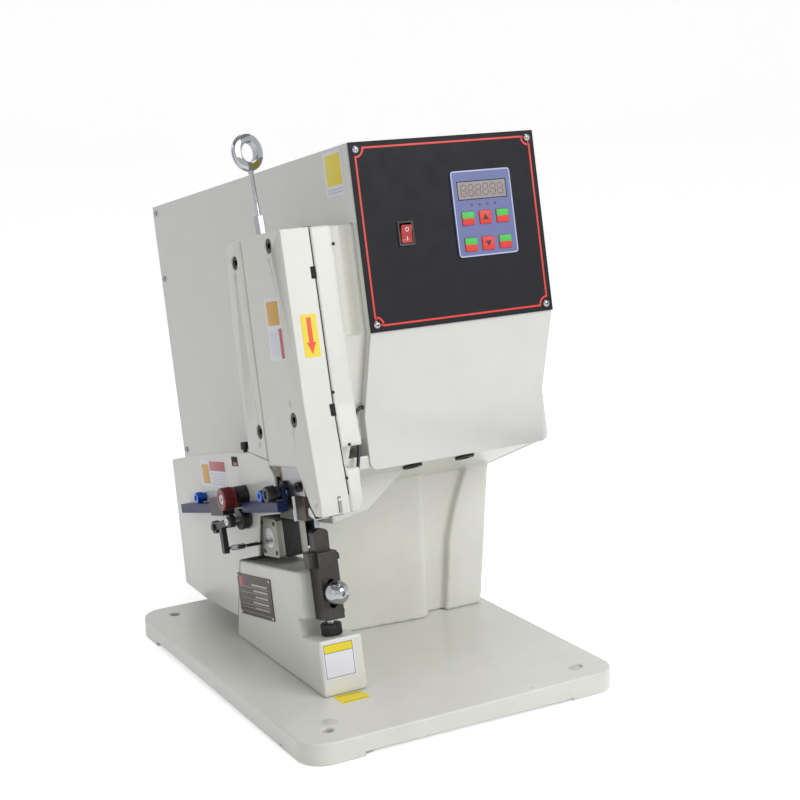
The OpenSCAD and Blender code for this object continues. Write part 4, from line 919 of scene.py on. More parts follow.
@dataclass
class Frame:
    """The cast frame with its column and jaw, and the plates fixed on the jaw."""

    voxel: float = 1.9
    rounds: int = 4
    smooth: float = 50.0
    jaw_front: float = -133.3
    jaw_left: float = -113.2
    label_box: Box = (-110.0, 17.0, -74.5, 55.0)
    yellow_box: Box = (-107.9, 44.9, -76.5, 52.8)
    ink_boxes: tuple[Box, ...] = (
        (-108.4, 19.0, -76.0, 19.5), (-108.4, 52.8, -76.0, 53.3), (-108.4, 19.0, -107.9, 53.3),
        (-76.5, 19.0, -76.0, 53.3), (-108.4, 44.4, -76.0, 44.9))
    plate_box: Box = (-30.0, 67.0, 60.5, 112.5)
    red_box: Box = (44.0, 100.0, 54.0, 109.5)
    rows_top: float = 105.0
    rows: int = 5
    row_pitch: float = 6.4
    foot_top: float = 76.5
    foot_lines: int = 3
    foot_pitch: float = 2.6
    rivet: Outline = ((0.2, 1.7), (-0.2, 1.7), (-0.7, 1.2), (-0.9, 0.0))
    rivet_v: tuple[float, float] = (-27.3, 57.8)
    rivet_w: tuple[float, float] = (69.6, 109.9)

    def build(self) -> None:
        """Makes the casting and its plates."""
        self._casting()
        label = [Field("label_white", self.label_box, 0.25, 0.6, 0.08, 0.8)]
        label += [Field("ink", box, 0.31, -0.1) for box in self.ink_boxes]
        label += [Field("label_yellow", self.yellow_box, 0.29, -0.1)]
        Piece("jaw_label").fields(Axis.Y, self.jaw_front, label).finish("machine")
        self._data_plate()

    def _casting(self) -> None:
        """Remeshes the frame's node, so that edges soften and corners fill as in a casting."""
        steps = [("REMESH", {"mode": "VOXEL", "voxel_size": self.voxel * MM, "adaptivity": 0.0}),
                 ("SMOOTH", {"factor": 0.5, "iterations": self.rounds})]
        made = modified(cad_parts["c_frame"].data.copy(), steps)
        bm = bmesh.new()
        bm.from_mesh(made)
        bmesh.ops.dissolve_limit(bm, angle_limit=math.radians(1.2), verts=bm.verts, edges=bm.edges)
        bm.to_mesh(made)
        bm.free()
        made.materials.clear()
        made.materials.append(PAINT.get("cast_enamel"))
        adopt(made, "frame_casting", "machine", ["c_frame"], self.smooth)

    def _data_plate(self) -> None:
        """Adds the blank data plate with its ruled fields and rivets."""
        fields = [Field("plate_brown", self.plate_box, 0.8, 0.5, 0.25, 1.5)]
        for i in range(self.rows):
            w = self.rows_top - self.row_pitch * i
            fields += [Field("plate_ink", (-24.0, w - 6.0, 54.0, w - 5.5), 0.9, -0.7),
                       Field("plate_ink", (-20.0, w - 3.9, 22.0 - 4 * (i % 3), w - 1.6), 0.9, -0.7)]
        for i in range(self.foot_lines):
            w = self.foot_top - self.foot_pitch * i
            fields.append(Field("plate_ink", (-24.0, w - 0.4, 54.0, w), 0.9, -0.7))
        fields.append(Field("label_red", self.red_box, 0.92, -0.7, 0.05, 1.2))
        Piece("data_plate").fields(Axis.X, self.jaw_left, fields).finish("machine")
        rivet = Piece("rivet").lathe(Axis.X, (0, 0, 0), self.rivet, 20)
        spots = [(self.jaw_left - 0.8, v, w) for v in self.rivet_v for w in self.rivet_w]
        adopt(Repeat(rivet, "polished").spots(spots), "plate_rivets", "machine")


@dataclass
class Head:
    """The head's cover plates, seam details, dowels and stickers."""

    covers: tuple[Skin, ...] = (
        Skin("head_side_plate", "head_front_cover", "cast_enamel", "machine", 1.3, 4.0,
             "cast_paint"),
        Skin("head_rear_plate", "head_rear_cover", "cast_enamel", "machine", 1.0, 4.0,
             "cast_paint"))
    left: float = -113.0
    seam: float = -81.0
    half_gap: float = 0.35
    front: Outline = ((187.0, -180.0), (202.5, -180.0), (293.75, -170.0), (470.0, -165.0))
    seam_runs: tuple[Point, ...] = ((205.0, 292.0), (292.0, 468.5))
    top: float = 470.0
    top_run: Box = (-81.35, -164.0, -80.65, -20.0)
    plug_half: tuple[float, float] = (2.8, 6.0)
    slot_x: tuple[float, float] = (-93.6, -90.0)
    slot_gap_x: tuple[float, float] = (-93.9, -93.2)
    plugs: tuple[Point, ...] = ((-82.6, 425.0), (-82.4, 289.0))
    slot_w: tuple[float, float] = (188.5, 205.0)
    pins: tuple[Point, ...] = (
        (-56.6, 451.0, 0.0), (-79.2, 306.0, 0.0), (-71.0, 253.0, 0.4), (-80.2, 221.0, 0.0))
    cap_profile: Outline = ((-1.0, 3.6), (0.4, 3.6), (0.7, 3.2), (0.75, 1.6), (0.2, 1.5))
    pip_profile: Outline = ((-1.0, 2.0), (0.5, 2.0), (0.7, 1.7))
    dowel: Outline = ((1.0, 3.1), (-0.12, 3.1), (-0.3, 2.8), (-0.22, 0.0))
    front_dowels: tuple[Point, ...] = ((-131.5, 441.9), (-138.6, 299.0), (-170.0, 198.0))
    rear_dowels: tuple[Point, ...] = ((-42.7, 432.7), (-51.3, 256.5))
    sticker: tuple[Field, ...] = (
        Field("label_white", (-143.0, 343.0, -107.0, 406.0), 0.25, 0.2, 0.08, 1.5),
        Field("label_gold", (-139.5, 378.0, -111.0, 402.0), 0.32, -0.1, 0.04, 1.0),
        Field("label_red", (-141.5, 344.5, -134.0, 374.5), 0.32, -0.1, 0.04))
    sticker_lines: tuple[float, ...] = (-130.0, -124.5, -119.0, -113.5)
    arrow_box: Box = (-103.6, 343.0, -86.8, 385.0)
    arrow_mid: float = 364.0
    arrow_outlines: tuple[Outline, ...] = (
        ((-97.6, 356.0), (-92.8, 356.0), (-92.8, 382.0), (-97.6, 382.0)),
        ((-100.2, 357.5), (-95.2, 345.5), (-90.2, 357.5)))

    def front_v(self, w: float) -> float:
        """Finds the head's front face.

        Args:
            w: Height along the body.

        Returns:
            The v of the face at that height.
        """
        for (w0, v0), (w1, v1) in zip(self.front, self.front[1:]):
            if w <= w1:
                return v0 + (v1 - v0) * (w - w0) / (w1 - w0)
        return self.front[-1][1]

    def build(self) -> None:
        """Makes the plates and everything on them."""
        for cover in self.covers:
            cover.build()
        self._seam()
        dowel = Piece("dowel").lathe(Axis.X, (0, 0, 0), self.dowel, 28)
        spots = [(self.left, v, w) for v, w in self.front_dowels]
        spots += [(self.left - 1.0, v, w) for v, w in self.rear_dowels]
        adopt(Repeat(dowel, "filler").spots(spots), "head_dowels", "machine")
        side = Piece("head_sticker").fields(Axis.X, self.left, self.sticker)
        side.fields(Axis.X, self.left, [Field("pale_film", (v, 347.0, v + 0.8, 372.0), 0.3, -0.1)
                                        for v in self.sticker_lines])
        side.finish("machine")
        self._arrow()

    def _on_front(self, piece: Piece, box: Box, proud: float) -> None:
        """Adds a thin plate that lies on the head's leaning front.

        Args:
            piece: Piece that takes the plate.
            box: Two opposite corners as x, w, x, w.
            proud: Height over the face.
        """
        x0, w0, x1, w1 = box
        v0, v1 = self.front_v(w0), self.front_v(w1)
        outline = [(v0 - proud, w0), (v0 + 0.6, w0), (v1 + 0.6, w1), (v1 - proud, w1)]
        piece.prism(Axis.X, x0, x1, outline, min(0.1, proud / 3))

    def _seam(self) -> None:
        """Adds the dark seam, its two plugs, small screws and the slot in the nose."""
        # The seam, its two plugs and the slot's gap are drawn in flat black painted shade.
        seam = Piece("head_seam").use("shadow_gap")
        low, high = self.slot_w
        for w0, w1 in self.seam_runs:
            strip = (self.seam - self.half_gap, w0, self.seam + self.half_gap, w1)
            self._on_front(seam, strip, 0.15)
        seam.prism(Axis.Z, self.top - 0.5, self.top + 0.12, rect(*self.top_run))
        a, b = self.plug_half
        for x, w in self.plugs:
            self._on_front(seam, (x - a, w - b, x + a, w + b), 0.35)
        for finish, (x0, x1), proud in (("motor_cap", self.slot_x, 0.2),
                                        ("shadow_gap", self.slot_gap_x, 0.3)):
            self._on_front(seam.use(finish), (x0, low, x1, high), proud)
        seam.use("black_oxide")
        for x, w, depth in self.pins:
            seam.lathe(Axis.Y, (x, self.front_v(w), w), [
                (1.5, 1.7), (0.0, 1.7), (-0.5 + depth, 1.5), (-0.6 + depth, 0.7), (0.1, 0.6)], 20)
        seam.use("brown_steel").lathe(Axis.Z, (self.seam, -158.0, self.top), self.cap_profile, 28)
        seam.lathe(Axis.Z, (self.seam + 4.0, -158.4, self.top), self.pip_profile, 20)
        seam.finish("machine")

    def _arrow(self) -> None:
        """Adds the yellow sticker whose arrow shows the ram's way."""
        sticker = Piece("ram_arrow").use("label_yellow")
        self._on_front(sticker, self.arrow_box, 0.25)
        _, low, _, high = self.arrow_box
        mid = self.arrow_mid
        lean = math.atan2(self.front_v(high) - self.front_v(low), high - low)
        sticker.use("arrow").at(Matrix.Translation((0, self.front_v(mid) - 0.28, mid))
                                @ Matrix.Rotation(-lean, 4, "X"))
        for outline in self.arrow_outlines:
            sticker.prism(Axis.Y, -0.12, 0.1, front_outline([(x, w - mid) for x, w in outline]))
        sticker.finish("machine")


@dataclass
class Cabinet:
    """The cabinet's folded skin, the feed's housing and their stickers."""

    skins: tuple[Skin, ...] = (
        Skin("front_fascia", "fascia_skin", "sheet_enamel", "machine", 0.8, 6.0, "sheet_paint"),
        Skin("feed_cover", "feed_housing", "sheet_enamel", "machine", 1.0, 6.0, "sheet_paint"))
    left: float = -28.0
    cover_left: float = -113.0
    cabinet_label: tuple[Field, ...] = (
        Field("label_white", (-149.0, 500.0, -107.0, 546.0), 0.3, 0.2, 0.08, 1.2),
        Field("label_yellow", (-145.5, 511.0, -110.5, 542.5), 0.36, -0.1, 0.05, 1.0),
        Field("pale_film", (-145.0, 503.5, -111.0, 504.4), 0.34, -0.1),
        Field("pale_film", (-145.0, 506.5, -111.0, 507.4), 0.34, -0.1))
    cover_label: tuple[Field, ...] = (
        Field("label_white", (55.0, 207.0, 130.0, 237.0), 0.25, 0.2, 0.08, 1.2),
        Field("label_red", (57.0, 225.0, 103.0, 235.6), 0.31, -0.1, 0.05),
        Field("label_gold", (106.0, 210.0, 127.0, 232.0), 0.31, -0.1, 0.05, 0.8))
    cover_lines: int = 5
    # The window is a field of flat black painted shade with a red field set in it.
    window: tuple[Field, ...] = (
        Field("shadow_gap", (18.0, 232.0, 35.0, 242.5), 0.2, 0.4, 0.05, 0.6),
        Field("label_red", (20.0, 232.8, 30.0, 236.4), 0.3, 0.3, 0.05, 0.6))
    screw_at: Point = (-104.0, 14.0, 247.5)
    screw: Outline = ((-6.0, 2.4), (2.0, 2.4), (2.0, 4.6), (9.4, 4.6), (10.0, 4.0), (10.0, 2.6),
                      (7.0, 2.4), (7.0, 0.0))

    def build(self) -> None:
        """Makes the folded pieces, the labels, and the cap screw and window behind the head."""
        for skin in self.skins:
            skin.build()
        Piece("cabinet_label").fields(Axis.X, self.left, self.cabinet_label).finish("machine")
        lines = [Field("pale_film", (60.0, 209.6 + 3.0 * i, 100.0 - 5 * (i % 2), 210.4 + 3.0 * i),
                       0.29, -0.1) for i in range(self.cover_lines)]
        cover = Piece("cover_label").fields(Axis.X, self.cover_left, self.cover_label)
        cover.fields(Axis.X, self.cover_left, lines).finish("machine")
        wall = Piece("wall_details").fields(Axis.X, self.cover_left, self.window)
        wall.use("black_oxide").lathe(Axis.Z, self.screw_at, self.screw, 24).finish("machine")


@dataclass
class Panel:
    """The control panel: red line, screws, switch, counter, display and keys."""

    front: float = -167.5
    left: float = -28.0
    right: float = 190.0
    low: float = 358.5
    high: float = 549.0
    screw_in: float = 7.5
    line_in: float = 6.2
    line_half: float = 0.95
    notch: float = 9.0
    notch_steps: int = 8
    dome: Outline = ((8.0, 2.0), (0.0, 2.0), (0.0, 3.7), (-0.5, 3.7), (-1.4, 3.1), (-1.95, 2.0),
                     (-2.1, 0.9), (-2.0, 0.0))
    cross: tuple[Point, ...] = ((1.9, 0.35), (0.35, 1.9))
    switch_at: tuple[float, float] = (24.5, 454.0)
    rocker_tilt: float = math.radians(9.0)
    rocker_half: float = 6.2
    rocker_side: Outline = (
        (-5.3, -8.9), (-4.7, -5.0), (-4.3, 0.0), (-4.7, 5.0), (-5.3, 8.9), (-4.6, 9.2), (2.0, 8.7),
        (4.0, 0.0), (2.0, -8.7), (-4.6, -9.2))
    ring_mark: Outline = ((-5.14, 2.1), (-5.14, 1.45), (-4.6, 1.45), (-4.6, 2.1))
    counter_at: tuple[float, float] = (83.0, 423.0)
    counter_size: tuple[float, float] = (72.0, 89.0)
    counter_proud: float = 1.8
    counter_corner: float = 4.0
    display: tuple[float, float] = (57.6, 17.7)
    display_drop: float = 1.67
    display_rim: float = 0.9
    lamp_at: tuple[float, float] = (22.0, 53.2)
    lamp_pitch: float = 9.4
    lamps: int = 4
    digit_in: float = 6.6
    digit_pitch: float = 8.9
    digits: int = 6
    lamp: Outline = ((0.3, 1.1), (-0.25, 1.1), (-0.7, 0.7), (-0.8, 0.0))
    bars: tuple[Point, ...] = ((0.0, 0.0), (0.0, 5.6), (0.0, -5.6))
    posts: tuple[Point, ...] = ((-3.0, 2.8), (3.0, 2.8), (-3.0, -2.8), (3.0, -2.8))
    keys: tuple[tuple[str, int, int], ...] = (
        ("key_set_left", -1, 0), ("key_up", 0, 0), ("key_set_right", 1, 0),
        ("key_clear_left", -1, 1), ("key_down", 0, 1), ("key_clear_right", 1, 1))
    key_half: tuple[float, float] = (7.15, 6.85)
    key_pitch: tuple[float, float] = (20.8, 27.0)
    key_rise: float = 0.445
    key_proud: float = 3.0
    arrow_half: float = 3.6
    arrow_tip: float = 3.4

    def build(self) -> None:
        """Makes everything on the panel."""
        outer, inner = self._border(self.line_half), self._border(-self.line_half)
        v0, v1 = self.front - 0.12, self.front + 0.05
        rings = [[Vector((x, v, w)) for x, w in points]
                 for v, points in ((v1, outer), (v0, outer), (v0, inner), (v1, inner))]
        line = Piece("panel_border").use("red_film").skin(rings, caps=False)
        line.finish("machine", slot="red_switch")
        self._screws()
        self._switch()
        self._counter()
        for node, column, row in self.keys:
            self._key(node, column, row)

    def _border(self, grow: float) -> list[Point]:
        """Outlines the red border, curved inwards round each screw.

        Args:
            grow: Distance by which the outline is grown.

        Returns:
            The outline as (x, w) points.
        """
        x0, x1 = self.left + self.line_in, self.right - self.line_in
        w0, w1 = self.low + self.line_in, self.high - self.line_in
        points: list[Point] = []
        r = self.notch - grow
        for cx, cw, start in ((x0, w0, 90.0), (x1, w0, 180.0), (x1, w1, 270.0), (x0, w1, 0.0)):
            ex = cx - (grow if cx == x0 else -grow)
            ew = cw - (grow if cw == w0 else -grow)
            arc = []
            for k in range(self.notch_steps + 1):
                a = math.radians(start - 90.0 * k / self.notch_steps)
                px, pw = cx + r * math.cos(a), cw + r * math.sin(a)
                arc.append((max(min(px, x1 + grow), x0 - grow), max(min(pw, w1 + grow), w0 - grow)))
            first = (ex, arc[0][1]) if abs(arc[0][0] - cx) < 0.01 else (arc[0][0], ew)
            last = (arc[-1][0], ew) if abs(arc[-1][1] - cw) < 0.01 else (ex, arc[-1][1])
            points += [first, *arc[1:-1], last]
        return points

    def _screws(self) -> None:
        """Adds the four domed cross-head screws."""
        spots = [(x, self.front, w) for x in (self.left + self.screw_in, self.right - self.screw_in)
                 for w in (self.low + self.screw_in, self.high - self.screw_in)]
        dome = Piece("dome").lathe(Axis.Y, (0, 0, 0), self.dome, 32)
        adopt(Repeat(dome, "polished").spots(spots), "panel_screw_heads", "machine",
              ["panel_screws"])
        # The cross recesses are flat black strips of painted shade on the domes.
        cross = Piece("cross")
        for a, b in self.cross:
            cross.prism(Axis.Y, -2.16, -1.5, rect(-a, -b, a, b))
        adopt(Repeat(cross, "shadow_gap").spots(spots), "panel_screw_crosses", "machine")

    def _switch(self) -> None:
        """Adds the rocker in its bezel, marked with a bar and a ring."""
        cx, cw = self.switch_at
        outer, inner = (round_corners(rect(cx - a, -(cw + b), cx + a, -(cw - b)), r)
                        for a, b, r in ((9.3, 12.8, 1.4), (6.7, 10.2, 0.5)))
        rings = [[Vector((x, self.front + v, -y)) for x, y in points] for v, points in
                 ((9.0, inner), (-1.4, inner), (-1.6, offset(inner, -0.4)),
                  (-1.5, offset(outer, 0.5)), (-0.9, outer), (0.05, outer))]
        bezel = Piece("switch_frame").use("black_plastic").skin(rings, caps=False)
        bezel.finish("machine", ["switch_bezel"], "black_plastic")
        turn = (BODY @ Matrix.Translation((cx, self.front + 2.0, cw))
                @ Matrix.Rotation(self.rocker_tilt, 4, "X"))
        rocker = Piece("rocker_cap", turn).use("switch_red")
        rocker.prism(Axis.X, -self.rocker_half, self.rocker_half, self.rocker_side, 0.5, 0.4)
        rocker.use("white_ink").prism(Axis.Y, -5.12, -4.7, rect(-0.35, 2.6, 0.35, 6.6))
        rocker.lathe(Axis.Y, (0.0, 0.0, 4.6), self.ring_mark, 32, closed=True)
        rocker.finish("rocker", ["rocker_switch"], "red_switch")

    def _counter(self) -> None:
        """Adds the counter's rim, a thin frame of painted shade round the display, four small lamps
        and unlit digits.
        """
        (x0, w0), (width, height) = self.counter_at, self.counter_size
        front = self.front - self.counter_proud
        outer = round_corners(rect(x0, -(w0 + height), x0 + width, -w0), self.counter_corner)
        rings = [[Vector((x, front + v, -y)) for x, y in offset(outer, inset)]
                 for v, inset in ((0.1, 0.15), (-0.12, 0.3), (-0.12, 1.5), (0.1, 1.6))]
        rim = Piece("counter_rim").use("pale_film").skin(rings, caps=False)
        rim.finish("machine", slot="module_face")
        across, tall = self.display
        dx, dw = x0 + (width - across) / 2, w0 + height - tall * self.display_drop
        x1, w1, gap = dx + across, dw + tall, self.display_rim
        # Painted shade: four thin flat black strips stand in for the shade in the gap round the
        # display.
        marks = [Field("shadow_gap", box, 0.1, 0.3) for box in
                 ((dx - gap, dw - gap, x1 + gap, dw), (dx - gap, w1, x1 + gap, w1 + gap),
                  (dx - gap, dw, dx, w1), (x1, dw, x1 + gap, w1))]
        Piece("counter_marks").fields(Axis.Y, front, marks).finish("machine")
        lamp = Piece("lamp").lathe(Axis.Y, (0, 0, 0), self.lamp, 16)
        lx, lw = self.lamp_at
        spots = [(x0 + lx + self.lamp_pitch * i, front, w0 + lw) for i in range(self.lamps)]
        adopt(Repeat(lamp, "digit").spots(spots), "counter_lamps", "machine")
        digit = Piece("digit")
        for places, a, b in ((self.bars, 2.3, 0.5), (self.posts, 0.5, 2.2)):
            for x, w in places:
                digit.prism(Axis.Y, -0.06, 0.1, front_outline(rect(x - a, w - b, x + a, w + b)),
                            corner=0.2)
        spots = [(dx + self.digit_in + self.digit_pitch * i, front, dw + tall / 2)
                 for i in range(self.digits)]
        adopt(Repeat(digit, "digit").spots(spots), "display_digits", "machine")

    def _key(self, node: str, column: int, row: int) -> None:
        """Adds one key; the outer ones are green over red, the middle two carry an arrowhead.

        Args:
            node: CAD node that it replaces.
            column: -1, 0 or 1 from left to right.
            row: 0 for the upper row, 1 for the lower.
        """
        (x_pitch, w_pitch), (a, b) = self.key_pitch, self.key_half
        cx = self.counter_at[0] + self.counter_size[0] / 2 + x_pitch * column
        cw = self.counter_at[1] + self.counter_size[1] * self.key_rise - w_pitch * row
        v0, v1 = self.front - self.key_proud, self.front + 1.0
        x0, x1, w0, w1 = cx - a, cx + a, cw - b, cw + b
        key = Piece(node + "_cap").use("key_red").block((x0, v0, w0), (x1, v1, w1), 0.5, 1.2)
        if column:
            key.use("key_green").block((x0 + 0.1, v0 - 0.08, cw), (x1 - 0.1, v0 + 0.6, w1 - 0.1),
                                       0.04, 1.0)
        else:
            tip = -self.arrow_tip if row else self.arrow_tip
            foot = cw - tip * 0.75
            arrow = [(cx - self.arrow_half, foot), (cx + self.arrow_half, foot), (cx, cw + tip)]
            key.use("ink").prism(Axis.Y, v0 - 0.08, v0 + 0.3, front_outline(arrow))
        key.finish(node + "_body", [node], "key_green" if column else "key_red")


@dataclass
class Anvil:
    """The ball knob, the height knob and the anvil's and ram's worn tools."""

    tools: tuple[Skin, ...] = (
        Skin("anvil_holder", "anvil_block", "blued_steel", "anvil", 0.7, 3.0, "dark_steel"),
        Skin("anvil_blade", "anvil_tip", "blued_steel", "anvil", 0.9, 3.0, "steel"),
        Skin("punch_holder", "punch_block", "brown_steel", "ram", 0.7, 4.0, "dark_steel"),
        Skin("ram", "ram_bar", "ground_steel", "ram", 0.8, 6.0, "steel"))
    ball_at: Point = (-87.0, -137.1, 104.0)
    ball_r: float = 12.4
    ball_arc: tuple[float, float, int] = (33.0, 133.0, 24)
    socket: Outline = ((11.6, 4.1), (11.7, 6.6), (10.9, 6.8))
    nose: Outline = ((-11.7, 2.9), (-10.6, 2.5), (-9.0, 2.4))
    knob_at: Point = (-87.0, -112.0, 58.3)
    knob: Outline = ((-19.0, 4.0), (0.0, 4.0), (0.0, 9.6), (0.8, 10.5), (5.4, 10.5), (5.9, 9.9),
                     (6.5, 9.9), (7.0, 10.5), (11.7, 10.5), (12.5, 9.6), (12.5, 4.0))
    stem: Outline = ((12.4, 3.95), (21.0, 3.95))
    knurl_w: float = 6.25
    knurl_r: float = 10.45
    knurl_count: int = 40
    pin_at: Point = (-107.6, -107.0, 179.0)
    pin: Outline = ((0.0, 2.6), (0.4, 2.9), (25.4, 2.9), (25.8, 2.6))
    chute_x: tuple[float, float] = (-107.0, -92.0)
    cheek_thick: float = 1.2
    chute_blade: Outline = ((-151.0, 183.2), (-136.0, 186.8), (-136.0, 185.6), (-151.0, 182.0))
    chute_cheek: Outline = ((-151.0, 183.2), (-136.0, 186.8), (-136.0, 194.0), (-141.0, 194.0))

    def build(self) -> None:
        """Makes the tools, the knobs, the bright pin by the punch and the chute's blade."""
        for tool in self.tools:
            tool.build()
        start, sweep, steps = self.ball_arc
        angles = (math.radians(start + sweep * k / steps) for k in range(steps + 1))
        arc = [(self.ball_r * math.cos(a), self.ball_r * math.sin(a)) for a in angles]
        ball = Piece("ball_handle").use("polished")
        ball.lathe(Axis.Y, self.ball_at, [*self.socket, *arc, *self.nose], 64)
        ball.finish("ball_knob_body", ["ball_knob"], "bright_steel")
        knob = Piece("height_knob_grip").use("black_plastic")
        knob.lathe(Axis.Z, self.knob_at, self.knob, 64)
        knob.use("turned_steel").lathe(Axis.Z, self.knob_at, self.stem, 32)
        knob.finish("height_knob_body", ["height_knob"], "black_plastic")
        rib = Piece("rib").block((-0.2, -0.42, -5.4), (0.5, 0.42, 5.4), 0.2, 0.2, Axis.Z)
        x, v, w = self.knob_at
        ring = Repeat(rib, "black_plastic", around(Axis.Z, (x, v, w + self.knurl_w), BODY))
        adopt(ring.ring(self.knurl_count, self.knurl_r), "height_knob_knurl", "height_knob_body")
        Piece("ram_trim").use("polished").lathe(Axis.Z, self.pin_at, self.pin, 28).finish("ram")
        chute = Piece("chute_blade").use("turned_steel")
        left, right = self.chute_x
        chute.prism(Axis.X, left, right, self.chute_blade, 0.2)
        chute.prism(Axis.X, left, left + self.cheek_thick, self.chute_cheek, 0.2)
        chute.finish("machine")


@dataclass(frozen=True)
class Thumbscrew:
    """One knurled thumbscrew of the feed.

    Attributes:
        name: Name of the piece.
        node: CAD node that it replaces.
        body: CAD body that it rides on.
        at: Its axis in the feed's (a, b).
        r: Radius over the knurl's root.
        length: Length of the grip.
        finish: Finish of the grip.
        seat: Face where the grip meets its seat, in x.
        rib_pitch: Distance between ribs round the grip.
    """

    name: str
    node: str
    body: str
    at: tuple[float, float]
    r: float
    length: float
    finish: str
    seat: float
    rib_pitch: float = 1.25

    def build(self) -> None:
        """Turns the grip with its dimple and shank, and adds the knurl."""
        r, end, centre = self.r, -self.length, (self.seat, *self.at)
        grip = Piece(self.name, FEED.copy()).use(self.finish)
        grip.lathe(Axis.X, centre, [
            (0.0, r * 0.75), (-0.3, r * 0.86), (end * 0.3, r * 0.86), (end * 0.34, r),
            (end + 0.6, r), (end, r - 0.6), (end, r * 0.5), (end + 1.6, r * 0.44)], 48)
        dimple = [(end + 1.5, r * 0.45), (end + 1.2, r * 0.2), (end + 1.3, 0.0)]
        grip.use("black_oxide").lathe(Axis.X, centre, dimple, 24)
        shank = [(2.8, 2.45), (0.0, 2.45), (-1.0, 2.45)]
        grip.use("turned_steel").lathe(Axis.X, centre, shank, 24).finish(self.body, [self.node])
        low, high = end + 0.7, end * 0.36
        half, middle = (high - low) / 2, (self.seat + (low + high) / 2, *self.at)
        rib = Piece("rib").block((-0.2, -0.28, -half), (0.34, 0.28, half), 0.12, 0.12, Axis.Z)
        ring = Repeat(rib, self.finish, around(Axis.X, middle, FEED))
        count = int(2 * math.pi * r / self.rib_pitch)
        adopt(ring.ring(count, r - 0.04), self.name + "_knurl", self.body)


